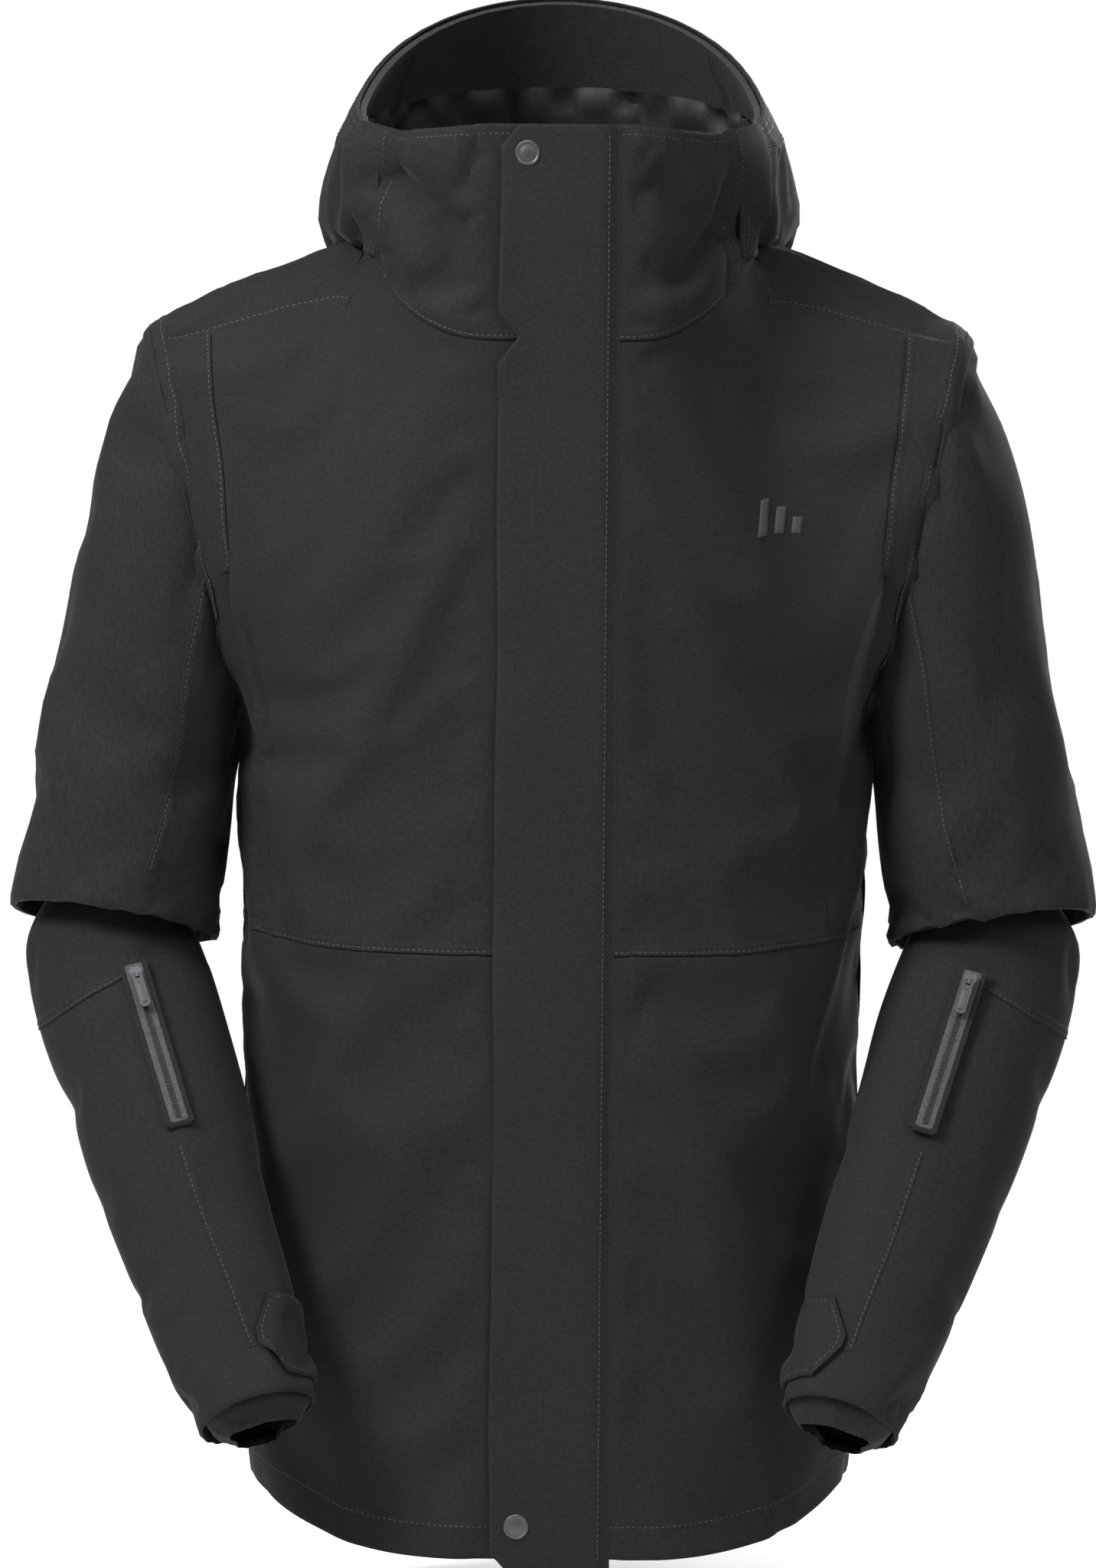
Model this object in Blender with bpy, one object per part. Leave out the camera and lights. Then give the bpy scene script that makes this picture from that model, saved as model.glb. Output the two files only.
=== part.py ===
"""Ski jacket: a padded shell on its hanger loop, with storm flap, hood, sleeves, zips and cuff tabs.

Metres, +Z up, -Y is the front of the jacket and +X is the wearer's left. The origin is the middle of
the hanger loop at the back of the neck.
"""
import math

import bmesh
import bpy
import numpy as np
from mathutils import Vector

# ---- driving dimensions, metres -------------------------------------------------------------------
HEM_FRONT_Z = -0.790
ARMPIT_Z = -0.289
WAIST_V = 0.733
NECK_FRONT_Z = -0.052
NECK_SIDE_Z = 0.003
NECK_BACK_Z = 0.008
NECK_HALF = 0.113
NECK_BACK_Y = 0.006
SIDE_Y = -0.075
STRIP_HALF = 0.042
FRONT_HEM_Y = -0.217
FRONT_LEAN = 0.0357
HALF_WIDTHS = [(-0.80, 0.177), (-0.74, 0.1825), (-0.45, 0.1875), (ARMPIT_Z, 0.1925)]
BACK_DEPTHS = [(-0.80, 0.055), (-0.52, 0.037), (-0.20, 0.065), (-0.08, 0.048), (NECK_BACK_Z, NECK_BACK_Y)]
HEM_HEIGHTS = [(0.0, HEM_FRONT_Z), (0.45, -0.785), (0.62, -0.774), (0.85, -0.759), (1.0, -0.755),
               (1.3, -0.771), (2.0, -0.797)]
SHOULDER_LINE = [(0.0, (NECK_HALF, NECK_SIDE_Z)), (0.22, (0.139, 0.0)), (0.45, (0.1685, -0.0116)),
                 (0.78, (0.215, -0.030)), (1.0, (0.248, -0.0486))]
ARMHOLE_TIP = (0.248, -0.0486)
ARMHOLE_HALF_DEPTH = 0.065
FRONT_POWER = 2 / 2.2
BACK_POWER = 2 / 2.2

SHELL_THICK = 0.0025
LINING = (-0.0074, -0.0056)
SEAM_U = 0.0016
SEAM_V = 0.0016
ZIP_GAP_HALF = 0.006
YOKE_V = 1.88
SIDE_SEAM_U = [(0.0, 0.70), (0.8, 0.70), (1.0, 0.745), (1.2, 0.815), (1.38, 0.88), (1.6, 0.893),
               (2.0, 0.893)]
CHEST_TOP_SPLIT = 0.55
POCKET_LIP_U = (-0.035, 0.012)
POCKET_LIP_V = (0.84, 1.42)
POCKET_LIP_DEPTHS = (0.0035, 0.0051)
LINING_V = (0.16, 1.62)
FRONT_LINING_U = (0.30, 0.86)
BACK_LINING_U = (1.14, 2.86)
MARK_U = (0.465, 0.657)
MARK_V = (1.433, 1.508)
MARK_DEPTHS = (0.0059, 0.0069)

SKIRT_U = (0.32, 3.68)
SKIRT_V = (0.12, 0.30)
SKIRT_DEPTHS = (-0.014, -0.0125)
ELASTIC_U = (0.34, 3.66)
ELASTIC_V = (0.085, 0.116)
ELASTIC_DEPTHS = (-0.0155, -0.0115)
SKIRT_SNAP_V = 0.2
SKIRT_SNAP_DEPTH = 0.0165

ZIP_TAPE_X = (0.0027, 0.0140)
ZIP_TAPE_H = (-0.785, 0.070)
ZIP_TAPE_DEPTHS = (-0.0024, -0.0014)
FACING_X = (0.0146, 0.0405)
FACING_H = (-0.780, -0.070)
FACING_DEPTHS = (-0.0014, -0.0005)
ZIP_COIL_HALF = 0.0024
ZIP_COIL_H = (-0.772, 0.062)
ZIP_COIL_DEPTHS = (-0.0024, -0.0008)
WIND_FLAP_X = (-0.030, 0.026)
WIND_FLAP_H = (-0.782, 0.066)
WIND_FLAP_DEPTHS = (-0.0062, -0.0045)
MAIN_SLIDER_H = 0.0565
MAIN_SLIDER_SIZE = (0.0078, 0.0125)
MAIN_PULLER_H = 0.0560
MAIN_PULLER_SIZE = (0.0058, 0.034)

FLAP_HALF = 0.036
FLAP_INNER = 0.0040
FLAP_THICK = 0.0024
FLAP_TOP = 0.079
FLAP_BOTTOM = -0.797
NOTCH_TOP = -0.034
NOTCH_BOTTOM = -0.065
NOTCH_DEPTH = 0.0125
FLAP_CHAMFER = 0.013
SNAP_X = -0.0195
SNAP_HEIGHTS = {"top": 0.0615, "bottom": -0.770}
SNAP_RADIUS = 0.0075

COLLAR_TOP_Z = 0.079
COLLAR_SIDE_TOP_Z = 0.072
COLLAR_TOP_HALF = 0.109
COLLAR_SET_FORWARD = 0.008
COLLAR_SEAM_C = 0.435
COLLAR_LIFT = 0.05

HOOD_ARC = math.radians(117)
HOOD_BACK = [(0.0, (0.086, 0.012)), (0.14, (0.128, -0.018)), (0.28, (0.180, -0.075)),
             (0.42, (0.220, -0.098)), (0.56, (0.240, -0.062)), (0.70, (0.236, 0.0)),
             (0.86, (0.208, 0.080)), (1.0, (0.165, 0.152))]
HOOD_SIDE = [(0.0, (0.1215, 0.010)), (0.14, (0.129, 0.011)), (0.28, (0.136, 0.013)),
             (0.42, (0.1405, 0.017)), (0.56, (0.1425, 0.025)), (0.70, (0.1415, 0.040)),
             (0.86, (0.135, 0.065)), (1.0, (0.1235, 0.088))]
HOOD_EDGE_RADIUS = 0.1225
HOOD_EDGE_Z = (-0.004, 0.073)
HOOD_PIVOT = (0.0, -0.129, -0.006)

SLEEVE_THICK = 0.0025
UPPER_SLEEVE = [
    # inner x, inner z, outer x, outer z, centre y, half depth, hem slant
    (0.00, (0.1965, -0.2905, 0.2520, -0.0500, -0.075, 0.065, 0.0)),
    (0.35, (0.1985, -0.3120, 0.2850, -0.1400, -0.078, 0.064, 0.0)),
    (0.60, (0.2030, -0.3370, 0.3010, -0.2250, -0.083, 0.061, 0.0)),
    (0.80, (0.2065, -0.3700, 0.3160, -0.3080, -0.089, 0.059, 0.010)),
    (1.00, (0.2115, -0.4220, 0.3290, -0.4080, -0.095, 0.056, 0.035)),
]
SHOULDER_PIVOT = (0.250, -0.075, -0.0445)
ELBOW = np.array((0.2720, -0.095, -0.430))
CUFF = np.array((0.176, -0.252, -0.699))
ELBOW_DOME_DEPTH = 0.0480
FOREARM_RADII = [(0.0, (0.0515, 0.0480)), (0.08, (0.0545, 0.0480)), (0.35, (0.0530, 0.0465)),
                 (0.65, (0.0465, 0.0420)), (1.0, (0.0365, 0.0340))]
TAB_S = (0.80, 0.965)
TAB_ANGLES = (math.radians(115), math.radians(190))
TAB_HEIGHTS = (0.0006, 0.0024)
POCKET_ANGLE = math.radians(103)
POCKET_S = (0.120, 0.440)
POCKET_TAPE_HALF = 0.006
POCKET_TAPE_HEIGHTS = (0.0010, 0.0018)
POCKET_COIL_HALF = 0.002
POCKET_COIL_HEIGHTS = (0.0021, 0.0031)
POCKET_COIL_INSET = 0.001
POCKET_SLIDER_AT = 0.925
POCKET_SLIDER_SIZE = (0.0080, 0.0110)
POCKET_PULLER_SIZE = (0.0066, 0.0225)
POCKET_PULLER_HEIGHTS = (0.0056, 0.0072)
POCKET_BAIL_HEIGHT = 0.0064

PULLER_FORK = 0.0013
PULLER_TOP = 0.0008
PULLER_THROAT = -0.0031
PULLER_ROUND = 0.0016
BAIL_HALF = 0.0009
BAIL_REACH = 0.0022

LOOP_HALF_SPAN = 0.034
LOOP_DROP = 0.010
LOOP_BAND_HALF = 0.0035
LOOP_HALF_THICK = 0.0006

FABRIC_DARK = (0.030, 0.030, 0.032)
FABRIC_MID = (0.036, 0.036, 0.038)
LINING_COLOUR = (0.028, 0.029, 0.032)
TAPE_COLOUR = (0.055, 0.055, 0.058)
TRIM_COLOUR = (0.018, 0.018, 0.019)
METAL_COLOUR = (0.09, 0.095, 0.105)


# ---- helpers --------------------------------------------------------------------------------------
def smooth(keys, t):
    """A smooth value through the keys (position, value)."""
    pos = np.array([k[0] for k in keys], float)
    val = np.array([k[1] for k in keys], float)
    slope = np.gradient(val, pos, axis=0)
    t = np.clip(np.asarray(t, float), pos[0], pos[-1])
    i = np.clip(np.searchsorted(pos, t, side="right") - 1, 0, len(pos) - 2)
    step = pos[i + 1] - pos[i]
    w = (t - pos[i]) / step
    if val.ndim == 2:
        w, step = w[..., None], step[..., None]
    rise = w * w * (3 - 2 * w)
    tangent = step * (w * (1 - w) ** 2 * slope[i] - w * w * (1 - w) * slope[i + 1])
    return val[i] * (1 - rise) + val[i + 1] * rise + tangent


def points(x, y, z):
    """Stacks three coordinates of any matching shapes into points."""
    return np.stack(np.broadcast_arrays(x, y, z), axis=-1).astype(float)


def unit(v):
    """The vectors at length one."""
    return v / np.linalg.norm(v, axis=-1, keepdims=True)


def make_material(name, colour, roughness, metallic=0.0):
    """A Principled material."""
    mat = bpy.data.materials.new(name)
    mat.use_nodes = True
    shader = mat.node_tree.nodes["Principled BSDF"]
    shader.inputs["Base Color"].default_value = (*colour, 1.0)
    shader.inputs["Roughness"].default_value = roughness
    shader.inputs["Metallic"].default_value = metallic
    mat.diffuse_color = (*colour, 1.0)
    return mat


FINISHES = {
    "outer": (FABRIC_DARK, 0.85, 0.0),
    "flap": (FABRIC_MID, 0.85, 0.0),
    "lining": (LINING_COLOUR, 0.4, 0.0),
    "tape": (TAPE_COLOUR, 0.8, 0.0),
    "trim": (TRIM_COLOUR, 0.6, 0.0),
    "metal": (METAL_COLOUR, 0.35, 1.0),
}


def add_object(name, verts, faces, finish, origin=(0.0, 0.0, 0.0), smooth_angle=40):
    """A closed mesh object with its origin at the given point and its faces pointing out."""
    origin = np.array(origin, float)
    mesh = bpy.data.meshes.new(name)
    local = np.asarray(verts, float) - origin
    mesh.from_pydata([tuple(v) for v in local], [], [tuple(f) for f in faces])
    bm = bmesh.new()
    bm.from_mesh(mesh)
    if bm.calc_volume(signed=True) < 0:
        bmesh.ops.reverse_faces(bm, faces=bm.faces)
    bm.to_mesh(mesh)
    bm.free()
    mesh.shade_smooth()
    mesh.set_sharp_from_angle(angle=math.radians(smooth_angle))
    mesh.materials.append(make_material(name, *FINISHES[finish]))
    obj = bpy.data.objects.new(name, mesh)
    obj.location = origin
    bpy.context.scene.collection.objects.link(obj)
    return obj


def slab(name, outer, inner, finish, wrap=False, origin=(0.0, 0.0, 0.0)):
    """A solid sheet between two matching grids of points; wrap closes it into a tube."""
    nu, nv = outer.shape[:2]
    verts = np.concatenate([outer.reshape(-1, 3), inner.reshape(-1, 3)])
    shift = nu * nv
    last = nu if wrap else nu - 1

    def at(i, j):
        return (i % nu) * nv + j

    faces = []
    for i in range(last):
        for j in range(nv - 1):
            quad = (at(i, j), at(i + 1, j), at(i + 1, j + 1), at(i, j + 1))
            faces.append(quad)
            faces.append(tuple(k + shift for k in reversed(quad)))
        for j, flip in ((0, False), (nv - 1, True)):
            rim = (at(i, j), at(i, j) + shift, at(i + 1, j) + shift, at(i + 1, j))
            faces.append(tuple(reversed(rim)) if flip else rim)
    if not wrap:
        for j in range(nv - 1):
            for i, flip in ((0, True), (nu - 1, False)):
                rim = (at(i, j), at(i, j) + shift, at(i, j + 1) + shift, at(i, j + 1))
                faces.append(tuple(reversed(rim)) if flip else rim)
    return add_object(name, verts, faces, finish, origin)


def prism(name, outline, frame, low, high, finish, origin=(0.0, 0.0, 0.0)):
    """A flat plate: an outline in the frame's first two directions, from low to high along its third."""
    base, across, along, out = frame
    rows = []
    for height in (low, high):
        rows += [base + a * across + b * along + height * out for a, b in outline]
    n = len(outline)
    faces = [tuple(reversed(range(n))), tuple(range(n, 2 * n))]
    faces += [(i, (i + 1) % n, (i + 1) % n + n, i + n) for i in range(n)]
    return add_object(name, rows, faces, finish, origin)


def turned(name, profile, frame, finish, segments=20):
    """A turned piece: a closed profile of (radius, height) round the frame's third direction."""
    base, across, along, out = frame
    verts, rings = [], []
    for radius, height in profile:
        if radius == 0:
            verts.append(base + height * out)
            rings.append([len(verts) - 1] * segments)
            continue
        ring = []
        for k in range(segments):
            turn = 2 * math.pi * k / segments
            side = math.cos(turn) * across + math.sin(turn) * along
            verts.append(base + radius * side + height * out)
            ring.append(len(verts) - 1)
        rings.append(ring)
    closed = profile[0][0] > 0
    pairs = list(zip(rings, rings[1:] + rings[:1])) if closed else list(zip(rings, rings[1:]))
    faces = []
    for a, b in pairs:
        for k in range(segments):
            m = (k + 1) % segments
            face = list(dict.fromkeys((a[k], a[m], b[m], b[k])))
            if len(face) > 2:
                faces.append(face)
    return add_object(name, verts, faces, finish)


def rectangle(x0, x1, y0, y1):
    """The corners of a rectangle."""
    return [(x0, y0), (x1, y0), (x1, y1), (x0, y1)]


def mirrored(pts, side):
    """The points on the wearer's left (+1) or right (-1)."""
    return pts * np.array((side, 1.0, 1.0))


# ---- body surface ---------------------------------------------------------------------------------
def plane_y(z):
    """Depth of the flat strip down the centre front."""
    return FRONT_HEM_Y + FRONT_LEAN * (z - HEM_FRONT_Z)


def body_ring(u, z):
    """Body outline at a height: u runs from 0 at centre front through 1 at the side to 2 at the back."""
    half = smooth(HALF_WIDTHS, z)
    start = STRIP_HALF / half * 0.9
    turn = np.clip((u - start) / (1 - start), 0, 1) * math.pi / 2
    front_x = STRIP_HALF + (half - STRIP_HALF) * np.sin(turn) ** FRONT_POWER
    front_y = SIDE_Y + (plane_y(z) - SIDE_Y) * np.cos(turn) ** FRONT_POWER
    in_strip = u < start
    front_x = np.where(in_strip, STRIP_HALF * u / start, front_x)
    back_turn = np.clip(u - 1, 0, 1) * math.pi / 2
    back_x = half * np.cos(back_turn) ** BACK_POWER
    back_y = SIDE_Y + (smooth(BACK_DEPTHS, z) - SIDE_Y) * np.sin(back_turn) ** BACK_POWER
    front = u <= 1
    return points(np.where(front, front_x, back_x), np.where(front, front_y, back_y), z)


STRIP_U = STRIP_HALF / smooth(HALF_WIDTHS, ARMPIT_Z) * 0.9
NECK_U = 0.55
BACK_NECK_U = 1.45


def shoulder_line(s):
    """Ridge of the shoulder from the neck (0) to the armhole (1)."""
    xz = smooth(SHOULDER_LINE, s)
    return points(xz[..., 0], SIDE_Y, xz[..., 1])


def neck_front(turn):
    """Front quarter of the neck seam."""
    y = SIDE_Y + (plane_y(NECK_FRONT_Z) - SIDE_Y) * np.cos(turn)
    x = STRIP_HALF + (NECK_HALF - STRIP_HALF) * np.sin(turn)
    z = NECK_SIDE_Z + (NECK_FRONT_Z - NECK_SIDE_Z) * np.cos(turn) ** 1.25
    return points(x, y, z)


def neck_back(turn):
    """Back quarter of the neck seam."""
    y = SIDE_Y + (NECK_BACK_Y - SIDE_Y) * np.sin(turn)
    z = NECK_SIDE_Z + (NECK_BACK_Z - NECK_SIDE_Z) * np.sin(turn)
    return points(NECK_HALF * np.cos(turn), y, z)


def top_edge(u):
    """Neck seam and shoulder ridge along the top of the body."""
    quarter = math.pi / 2
    strip = points(STRIP_HALF * u / STRIP_U, plane_y(NECK_FRONT_Z), NECK_FRONT_Z)
    front = neck_front(np.clip((u - STRIP_U) / (NECK_U - STRIP_U), 0, 1) * quarter)
    ridge_front = shoulder_line(np.clip((u - NECK_U) / (1 - NECK_U), 0, 1))
    ridge_back = shoulder_line(np.clip((BACK_NECK_U - u) / (BACK_NECK_U - 1), 0, 1))
    back = neck_back(np.clip((u - BACK_NECK_U) / (2 - BACK_NECK_U), 0, 1) * quarter)
    u = u[..., None]
    edge = np.where(u < STRIP_U, strip, front)
    edge = np.where(u > NECK_U, ridge_front, edge)
    edge = np.where(u > 1, ridge_back, edge)
    return np.where(u > BACK_NECK_U, back, edge)


def armhole(b, to_front):
    """Armhole from the armpit (0) to the shoulder tip (1)."""
    turn = (b - 0.5) * math.pi
    half = smooth(HALF_WIDTHS, ARMPIT_Z)
    rise = (np.sin(turn) + 1) / 2
    x = half + (ARMHOLE_TIP[0] - half) * rise
    z = ARMPIT_Z + (ARMHOLE_TIP[1] - ARMPIT_Z) * rise
    depth = ARMHOLE_HALF_DEPTH * np.cos(turn)
    return points(x, np.where(to_front, SIDE_Y - depth, SIDE_Y + depth), z)


def centre_line(b, to_front):
    """Edge of the front strip, or the centre back, from armpit height to the neck."""
    z_front = ARMPIT_Z + (NECK_FRONT_Z - ARMPIT_Z) * b
    z_back = ARMPIT_Z + (NECK_BACK_Z - ARMPIT_Z) * b
    front = points(STRIP_HALF, plane_y(z_front), z_front)
    back = points(0.0, smooth(BACK_DEPTHS, z_back), z_back)
    return np.where(np.asarray(to_front)[..., None], front, back)


def upper_body(u, b):
    """Body between armpit height (b 0) and the top edge (b 1)."""
    front = u <= 1
    a = np.where(front, np.clip((u - STRIP_U) / (1 - STRIP_U), 0, 1), 2 - u)[..., None]
    bottom = body_ring(u, np.full_like(u, ARMPIT_Z))
    top = top_edge(u)
    middle = centre_line(b, front)
    side = armhole(b, front)
    zero, one = np.zeros_like(b), np.ones_like(b)
    corners = [centre_line(zero, front), armhole(zero, front), centre_line(one, front), armhole(one, front)]
    w = b[..., None]
    blended = (1 - w) * bottom + w * top + (1 - a) * middle + a * side
    blended -= (1 - a) * (1 - w) * corners[0] + a * (1 - w) * corners[1]
    blended -= (1 - a) * w * corners[2] + a * w * corners[3]
    z = ARMPIT_Z + (NECK_FRONT_Z - ARMPIT_Z) * b
    strip = points(STRIP_HALF * u / STRIP_U, plane_y(z), z)
    return np.where((u < STRIP_U)[..., None], strip, blended)


def body(u, v):
    """Body surface: v is 0 at the hem, 1 at armpit height and 2 at the neck and shoulders."""
    u, v = np.broadcast_arrays(np.asarray(u, float), np.asarray(v, float))
    around = np.where(u > 2, 4 - u, u)
    hem = smooth(HEM_HEIGHTS, around)
    low = body_ring(around, hem + (ARMPIT_Z - hem) * np.clip(v, 0, 1))
    high = upper_body(around, np.clip(v - 1, 0, 1))
    pts = np.where((v <= 1)[..., None], low, high)
    flip = np.where(u > 2, -1.0, 1.0)
    pts[..., 0] *= flip
    return pts


def collar(c, w):
    """Collar surface: c as u along the neck seam, w from the seam (0) to the top edge (1)."""
    c, w = np.broadcast_arrays(np.asarray(c, float), np.asarray(w, float))
    turn = np.clip((c - STRIP_U) / (NECK_U - STRIP_U), 0, 1) * math.pi / 2
    x = STRIP_HALF + (COLLAR_TOP_HALF - STRIP_HALF) * np.sin(turn)
    x = np.where(c < STRIP_U, STRIP_HALF * c / STRIP_U, x)
    z = COLLAR_TOP_Z + (COLLAR_SIDE_TOP_Z - COLLAR_TOP_Z) * np.sin(turn)
    side_y = SIDE_Y - COLLAR_SET_FORWARD
    y = side_y + (plane_y(COLLAR_TOP_Z) - side_y) * np.cos(turn)
    bottom = top_edge(c)
    return bottom + (points(x, y, z) - bottom) * w[..., None]


def hood(f, t):
    """Hood surface: f runs from -1 to 1 round the back, t from the neck seam (0) to the rim (1)."""
    f, t = np.broadcast_arrays(np.asarray(f, float), np.asarray(t, float))
    turn = f * HOOD_ARC
    back, side = smooth(HOOD_BACK, t), smooth(HOOD_SIDE, t)
    edge = points(HOOD_EDGE_RADIUS, HOOD_EDGE_Z[0] + (HOOD_EDGE_Z[1] - HOOD_EDGE_Z[0]) * t, 0)[..., :2]
    to_back = (np.cos(np.clip(np.abs(turn), 0, math.pi / 2)) ** 2)[..., None]
    past = np.clip((np.abs(turn) - math.radians(80)) / (HOOD_ARC - math.radians(80)), 0, 1)
    to_edge = (past * past * (3 - 2 * past))[..., None]
    rz = (back * to_back + side * (1 - to_back)) * (1 - to_edge) + edge * to_edge
    return points(rz[..., 0] * np.sin(turn), SIDE_Y + rz[..., 0] * np.cos(turn), rz[..., 1])


def normals(surface, u, v, u_limits, v_limits):
    """Unit normals of a surface, from points a little to each side."""
    step = 1e-3
    du = surface(np.minimum(u + step, u_limits[1]), v) - surface(np.maximum(u - step, u_limits[0]), v)
    dv = surface(u, np.minimum(v + step, v_limits[1])) - surface(u, np.maximum(v - step, v_limits[0]))
    return unit(np.cross(du, dv))


def bound(edge, t):
    """An edge given as a number or as a function."""
    return edge(t) if callable(edge) else np.full_like(t, edge)


def panel(name, surface, u_edges, v_edges, cells, depths, finish, side=1, limits=None):
    """A sewn panel: a patch of a surface, given its depths along the outward normal."""
    a, b = np.meshgrid(np.linspace(0, 1, cells[0] + 1), np.linspace(0, 1, cells[1] + 1), indexing="ij")
    v = bound(v_edges[0], a) * (1 - b) + bound(v_edges[1], a) * b
    u = bound(u_edges[0], v) * (1 - a) + bound(u_edges[1], v) * a
    u_limits, v_limits = limits or ((0.0, 1.0), (0.0, 2.0))
    base = surface(u, v)
    out = normals(surface, u, v, u_limits, v_limits)
    outer = mirrored(base + out * depths[1], side)
    inner = mirrored(base + out * depths[0], side)
    return slab(name, outer, inner, finish)


# ---- body panels ----------------------------------------------------------------------------------
SHELL = (0.0, SHELL_THICK)
BACK_LIMITS = ((1.0001, 2.9999), (0.0, 2.0))
EDGE_U = STRIP_U * ZIP_GAP_HALF / STRIP_HALF


def side_seam(v):
    """Where the chest panel meets the side panel."""
    return smooth(SIDE_SEAM_U, v)


def make_front(tag, side):
    """The front panels of one side."""
    def chest_top(a):
        return np.where(a < CHEST_TOP_SPLIT, 2 - SEAM_V, YOKE_V - SEAM_V)

    panel(f"chest_{tag}", body, (EDGE_U, lambda v: side_seam(v) - SEAM_U), (WAIST_V + SEAM_V, chest_top),
          (9, 9), SHELL, "outer", side)
    panel(f"side_front_{tag}", body, (lambda v: side_seam(v) + SEAM_U, 1 - SEAM_U),
          (WAIST_V + SEAM_V, YOKE_V - SEAM_V), (3, 9), SHELL, "outer", side)
    panel(f"lower_front_{tag}", body, (EDGE_U, 1 - SEAM_U), (0.0, WAIST_V - SEAM_V),
          (10, 4), SHELL, "outer", side)
    panel(f"yoke_{tag}", body, (0.56, 1 - SEAM_U), (YOKE_V + SEAM_V, 2 - SEAM_V),
          (5, 2), SHELL, "outer", side)
    lip = [lambda v, shift=shift: side_seam(v) + shift for shift in POCKET_LIP_U]
    panel(f"pocket_lip_{tag}", body, lip, POCKET_LIP_V, (2, 6), POCKET_LIP_DEPTHS, "outer", side)
    panel(f"front_lining_{tag}", body, FRONT_LINING_U, LINING_V, (6, 6), LINING, "lining", side)


def make_back():
    """Upper and lower back panels, and the back lining."""
    panel("upper_back", body, (1 + SEAM_U, 3 - SEAM_U), (WAIST_V + SEAM_V, 2 - SEAM_V * 2),
          (16, 8), SHELL, "outer", limits=BACK_LIMITS)
    panel("lower_back", body, (1 + SEAM_U, 3 - SEAM_U), (0.0, WAIST_V - SEAM_V),
          (16, 4), SHELL, "outer", limits=BACK_LIMITS)
    panel("back_lining", body, BACK_LINING_U, LINING_V, (10, 6), LINING, "lining", limits=BACK_LIMITS)


def make_collar(tag, side):
    """Collar front half."""
    limits = ((0.0, NECK_U), (0.0, 1.0))
    panel(f"collar_{tag}", collar, (EDGE_U, COLLAR_SEAM_C), (COLLAR_LIFT, 1.0), (7, 2), SHELL,
          "outer", side, limits)


def make_skirt():
    """Powder skirt inside the lower body, with its elastic edge and back snap."""
    limits = ((0.0, 4.0), (0.0, 2.0))
    panel("powder_skirt", body, SKIRT_U, SKIRT_V, (22, 1), SKIRT_DEPTHS, "lining", limits=limits)
    panel("skirt_elastic", body, ELASTIC_U, ELASTIC_V, (22, 1), ELASTIC_DEPTHS, "trim", limits=limits)
    out = np.array((0.0, -1.0, 0.0))
    seat = body(np.array(2.0), np.array(SKIRT_SNAP_V)) + out * SKIRT_SNAP_DEPTH
    frame = (seat, np.array((1.0, 0.0, 0.0)), np.array((0.0, 0.0, 1.0)), out)
    profile = [(0, 0), (0.006, 0), (0.006, 0.0016), (0.0045, 0.0026), (0, 0.0026)]
    turned("skirt_snap", profile, frame, "metal")


def make_hanger_loop():
    """Strap loop at the back of the neck: its middle is the origin."""
    along = np.linspace(-1, 1, 11)
    mid = points(LOOP_HALF_SPAN * along, 0.0, -LOOP_DROP * along ** 4)
    slope = unit(np.gradient(mid, axis=0))
    up = np.cross(slope, np.array((0.0, 1.0, 0.0)))
    grid = np.stack([mid - up * LOOP_BAND_HALF, mid + up * LOOP_BAND_HALF], axis=1)
    shift = np.array((0.0, LOOP_HALF_THICK, 0.0))
    slab("hanger_loop", grid - shift, grid + shift, "trim")


def front_frame(x=0.0, h=0.0):
    """Frame on the flat front strip: across, up along the strip, and out."""
    up = unit(np.array((0.0, FRONT_LEAN, 1.0)))
    out = unit(np.array((0.0, -1.0, FRONT_LEAN)))
    across = np.array((1.0, 0.0, 0.0))
    base = np.array((0.0, plane_y(0.0), 0.0))
    return base + x * across + h * up, across, up, out


def make_front_closure():
    """Zip tapes, coil, facings, wind flap and snap studs on the flat front strip."""
    frame = front_frame()
    for tag, side in (("L", 1), ("R", -1)):
        tape = rectangle(*sorted(side * x for x in ZIP_TAPE_X), *ZIP_TAPE_H)
        prism(f"zip_tape_{tag}", tape, frame, *ZIP_TAPE_DEPTHS, "tape")
        facing = rectangle(*sorted(side * x for x in FACING_X), *FACING_H)
        prism(f"facing_{tag}", facing, frame, *FACING_DEPTHS, "outer")
    coil = rectangle(-ZIP_COIL_HALF, ZIP_COIL_HALF, *ZIP_COIL_H)
    prism("zip_coil", coil, frame, *ZIP_COIL_DEPTHS, "trim")
    prism("wind_flap", rectangle(*WIND_FLAP_X, *WIND_FLAP_H), frame, *WIND_FLAP_DEPTHS, "lining")
    for place, h in SNAP_HEIGHTS.items():
        turned(f"snap_stud_{place}", [(0, 0.0028), (0.0025, 0.0028), (0.0025, 0.0036), (0, 0.0036)],
               front_frame(SNAP_X, h), "metal", 12)


def make_main_slider():
    """Slider of the main zip with its puller, lying in the gap between the front edges."""
    seat = front_frame(0.0, MAIN_SLIDER_H)
    slider_block("main_slider", seat, MAIN_SLIDER_SIZE, (-0.0005, 0.0009), 0.0011)
    pull_tab("main_puller", front_frame(0.0, MAIN_PULLER_H), MAIN_PULLER_SIZE, (0.0010, 0.0022))


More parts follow.
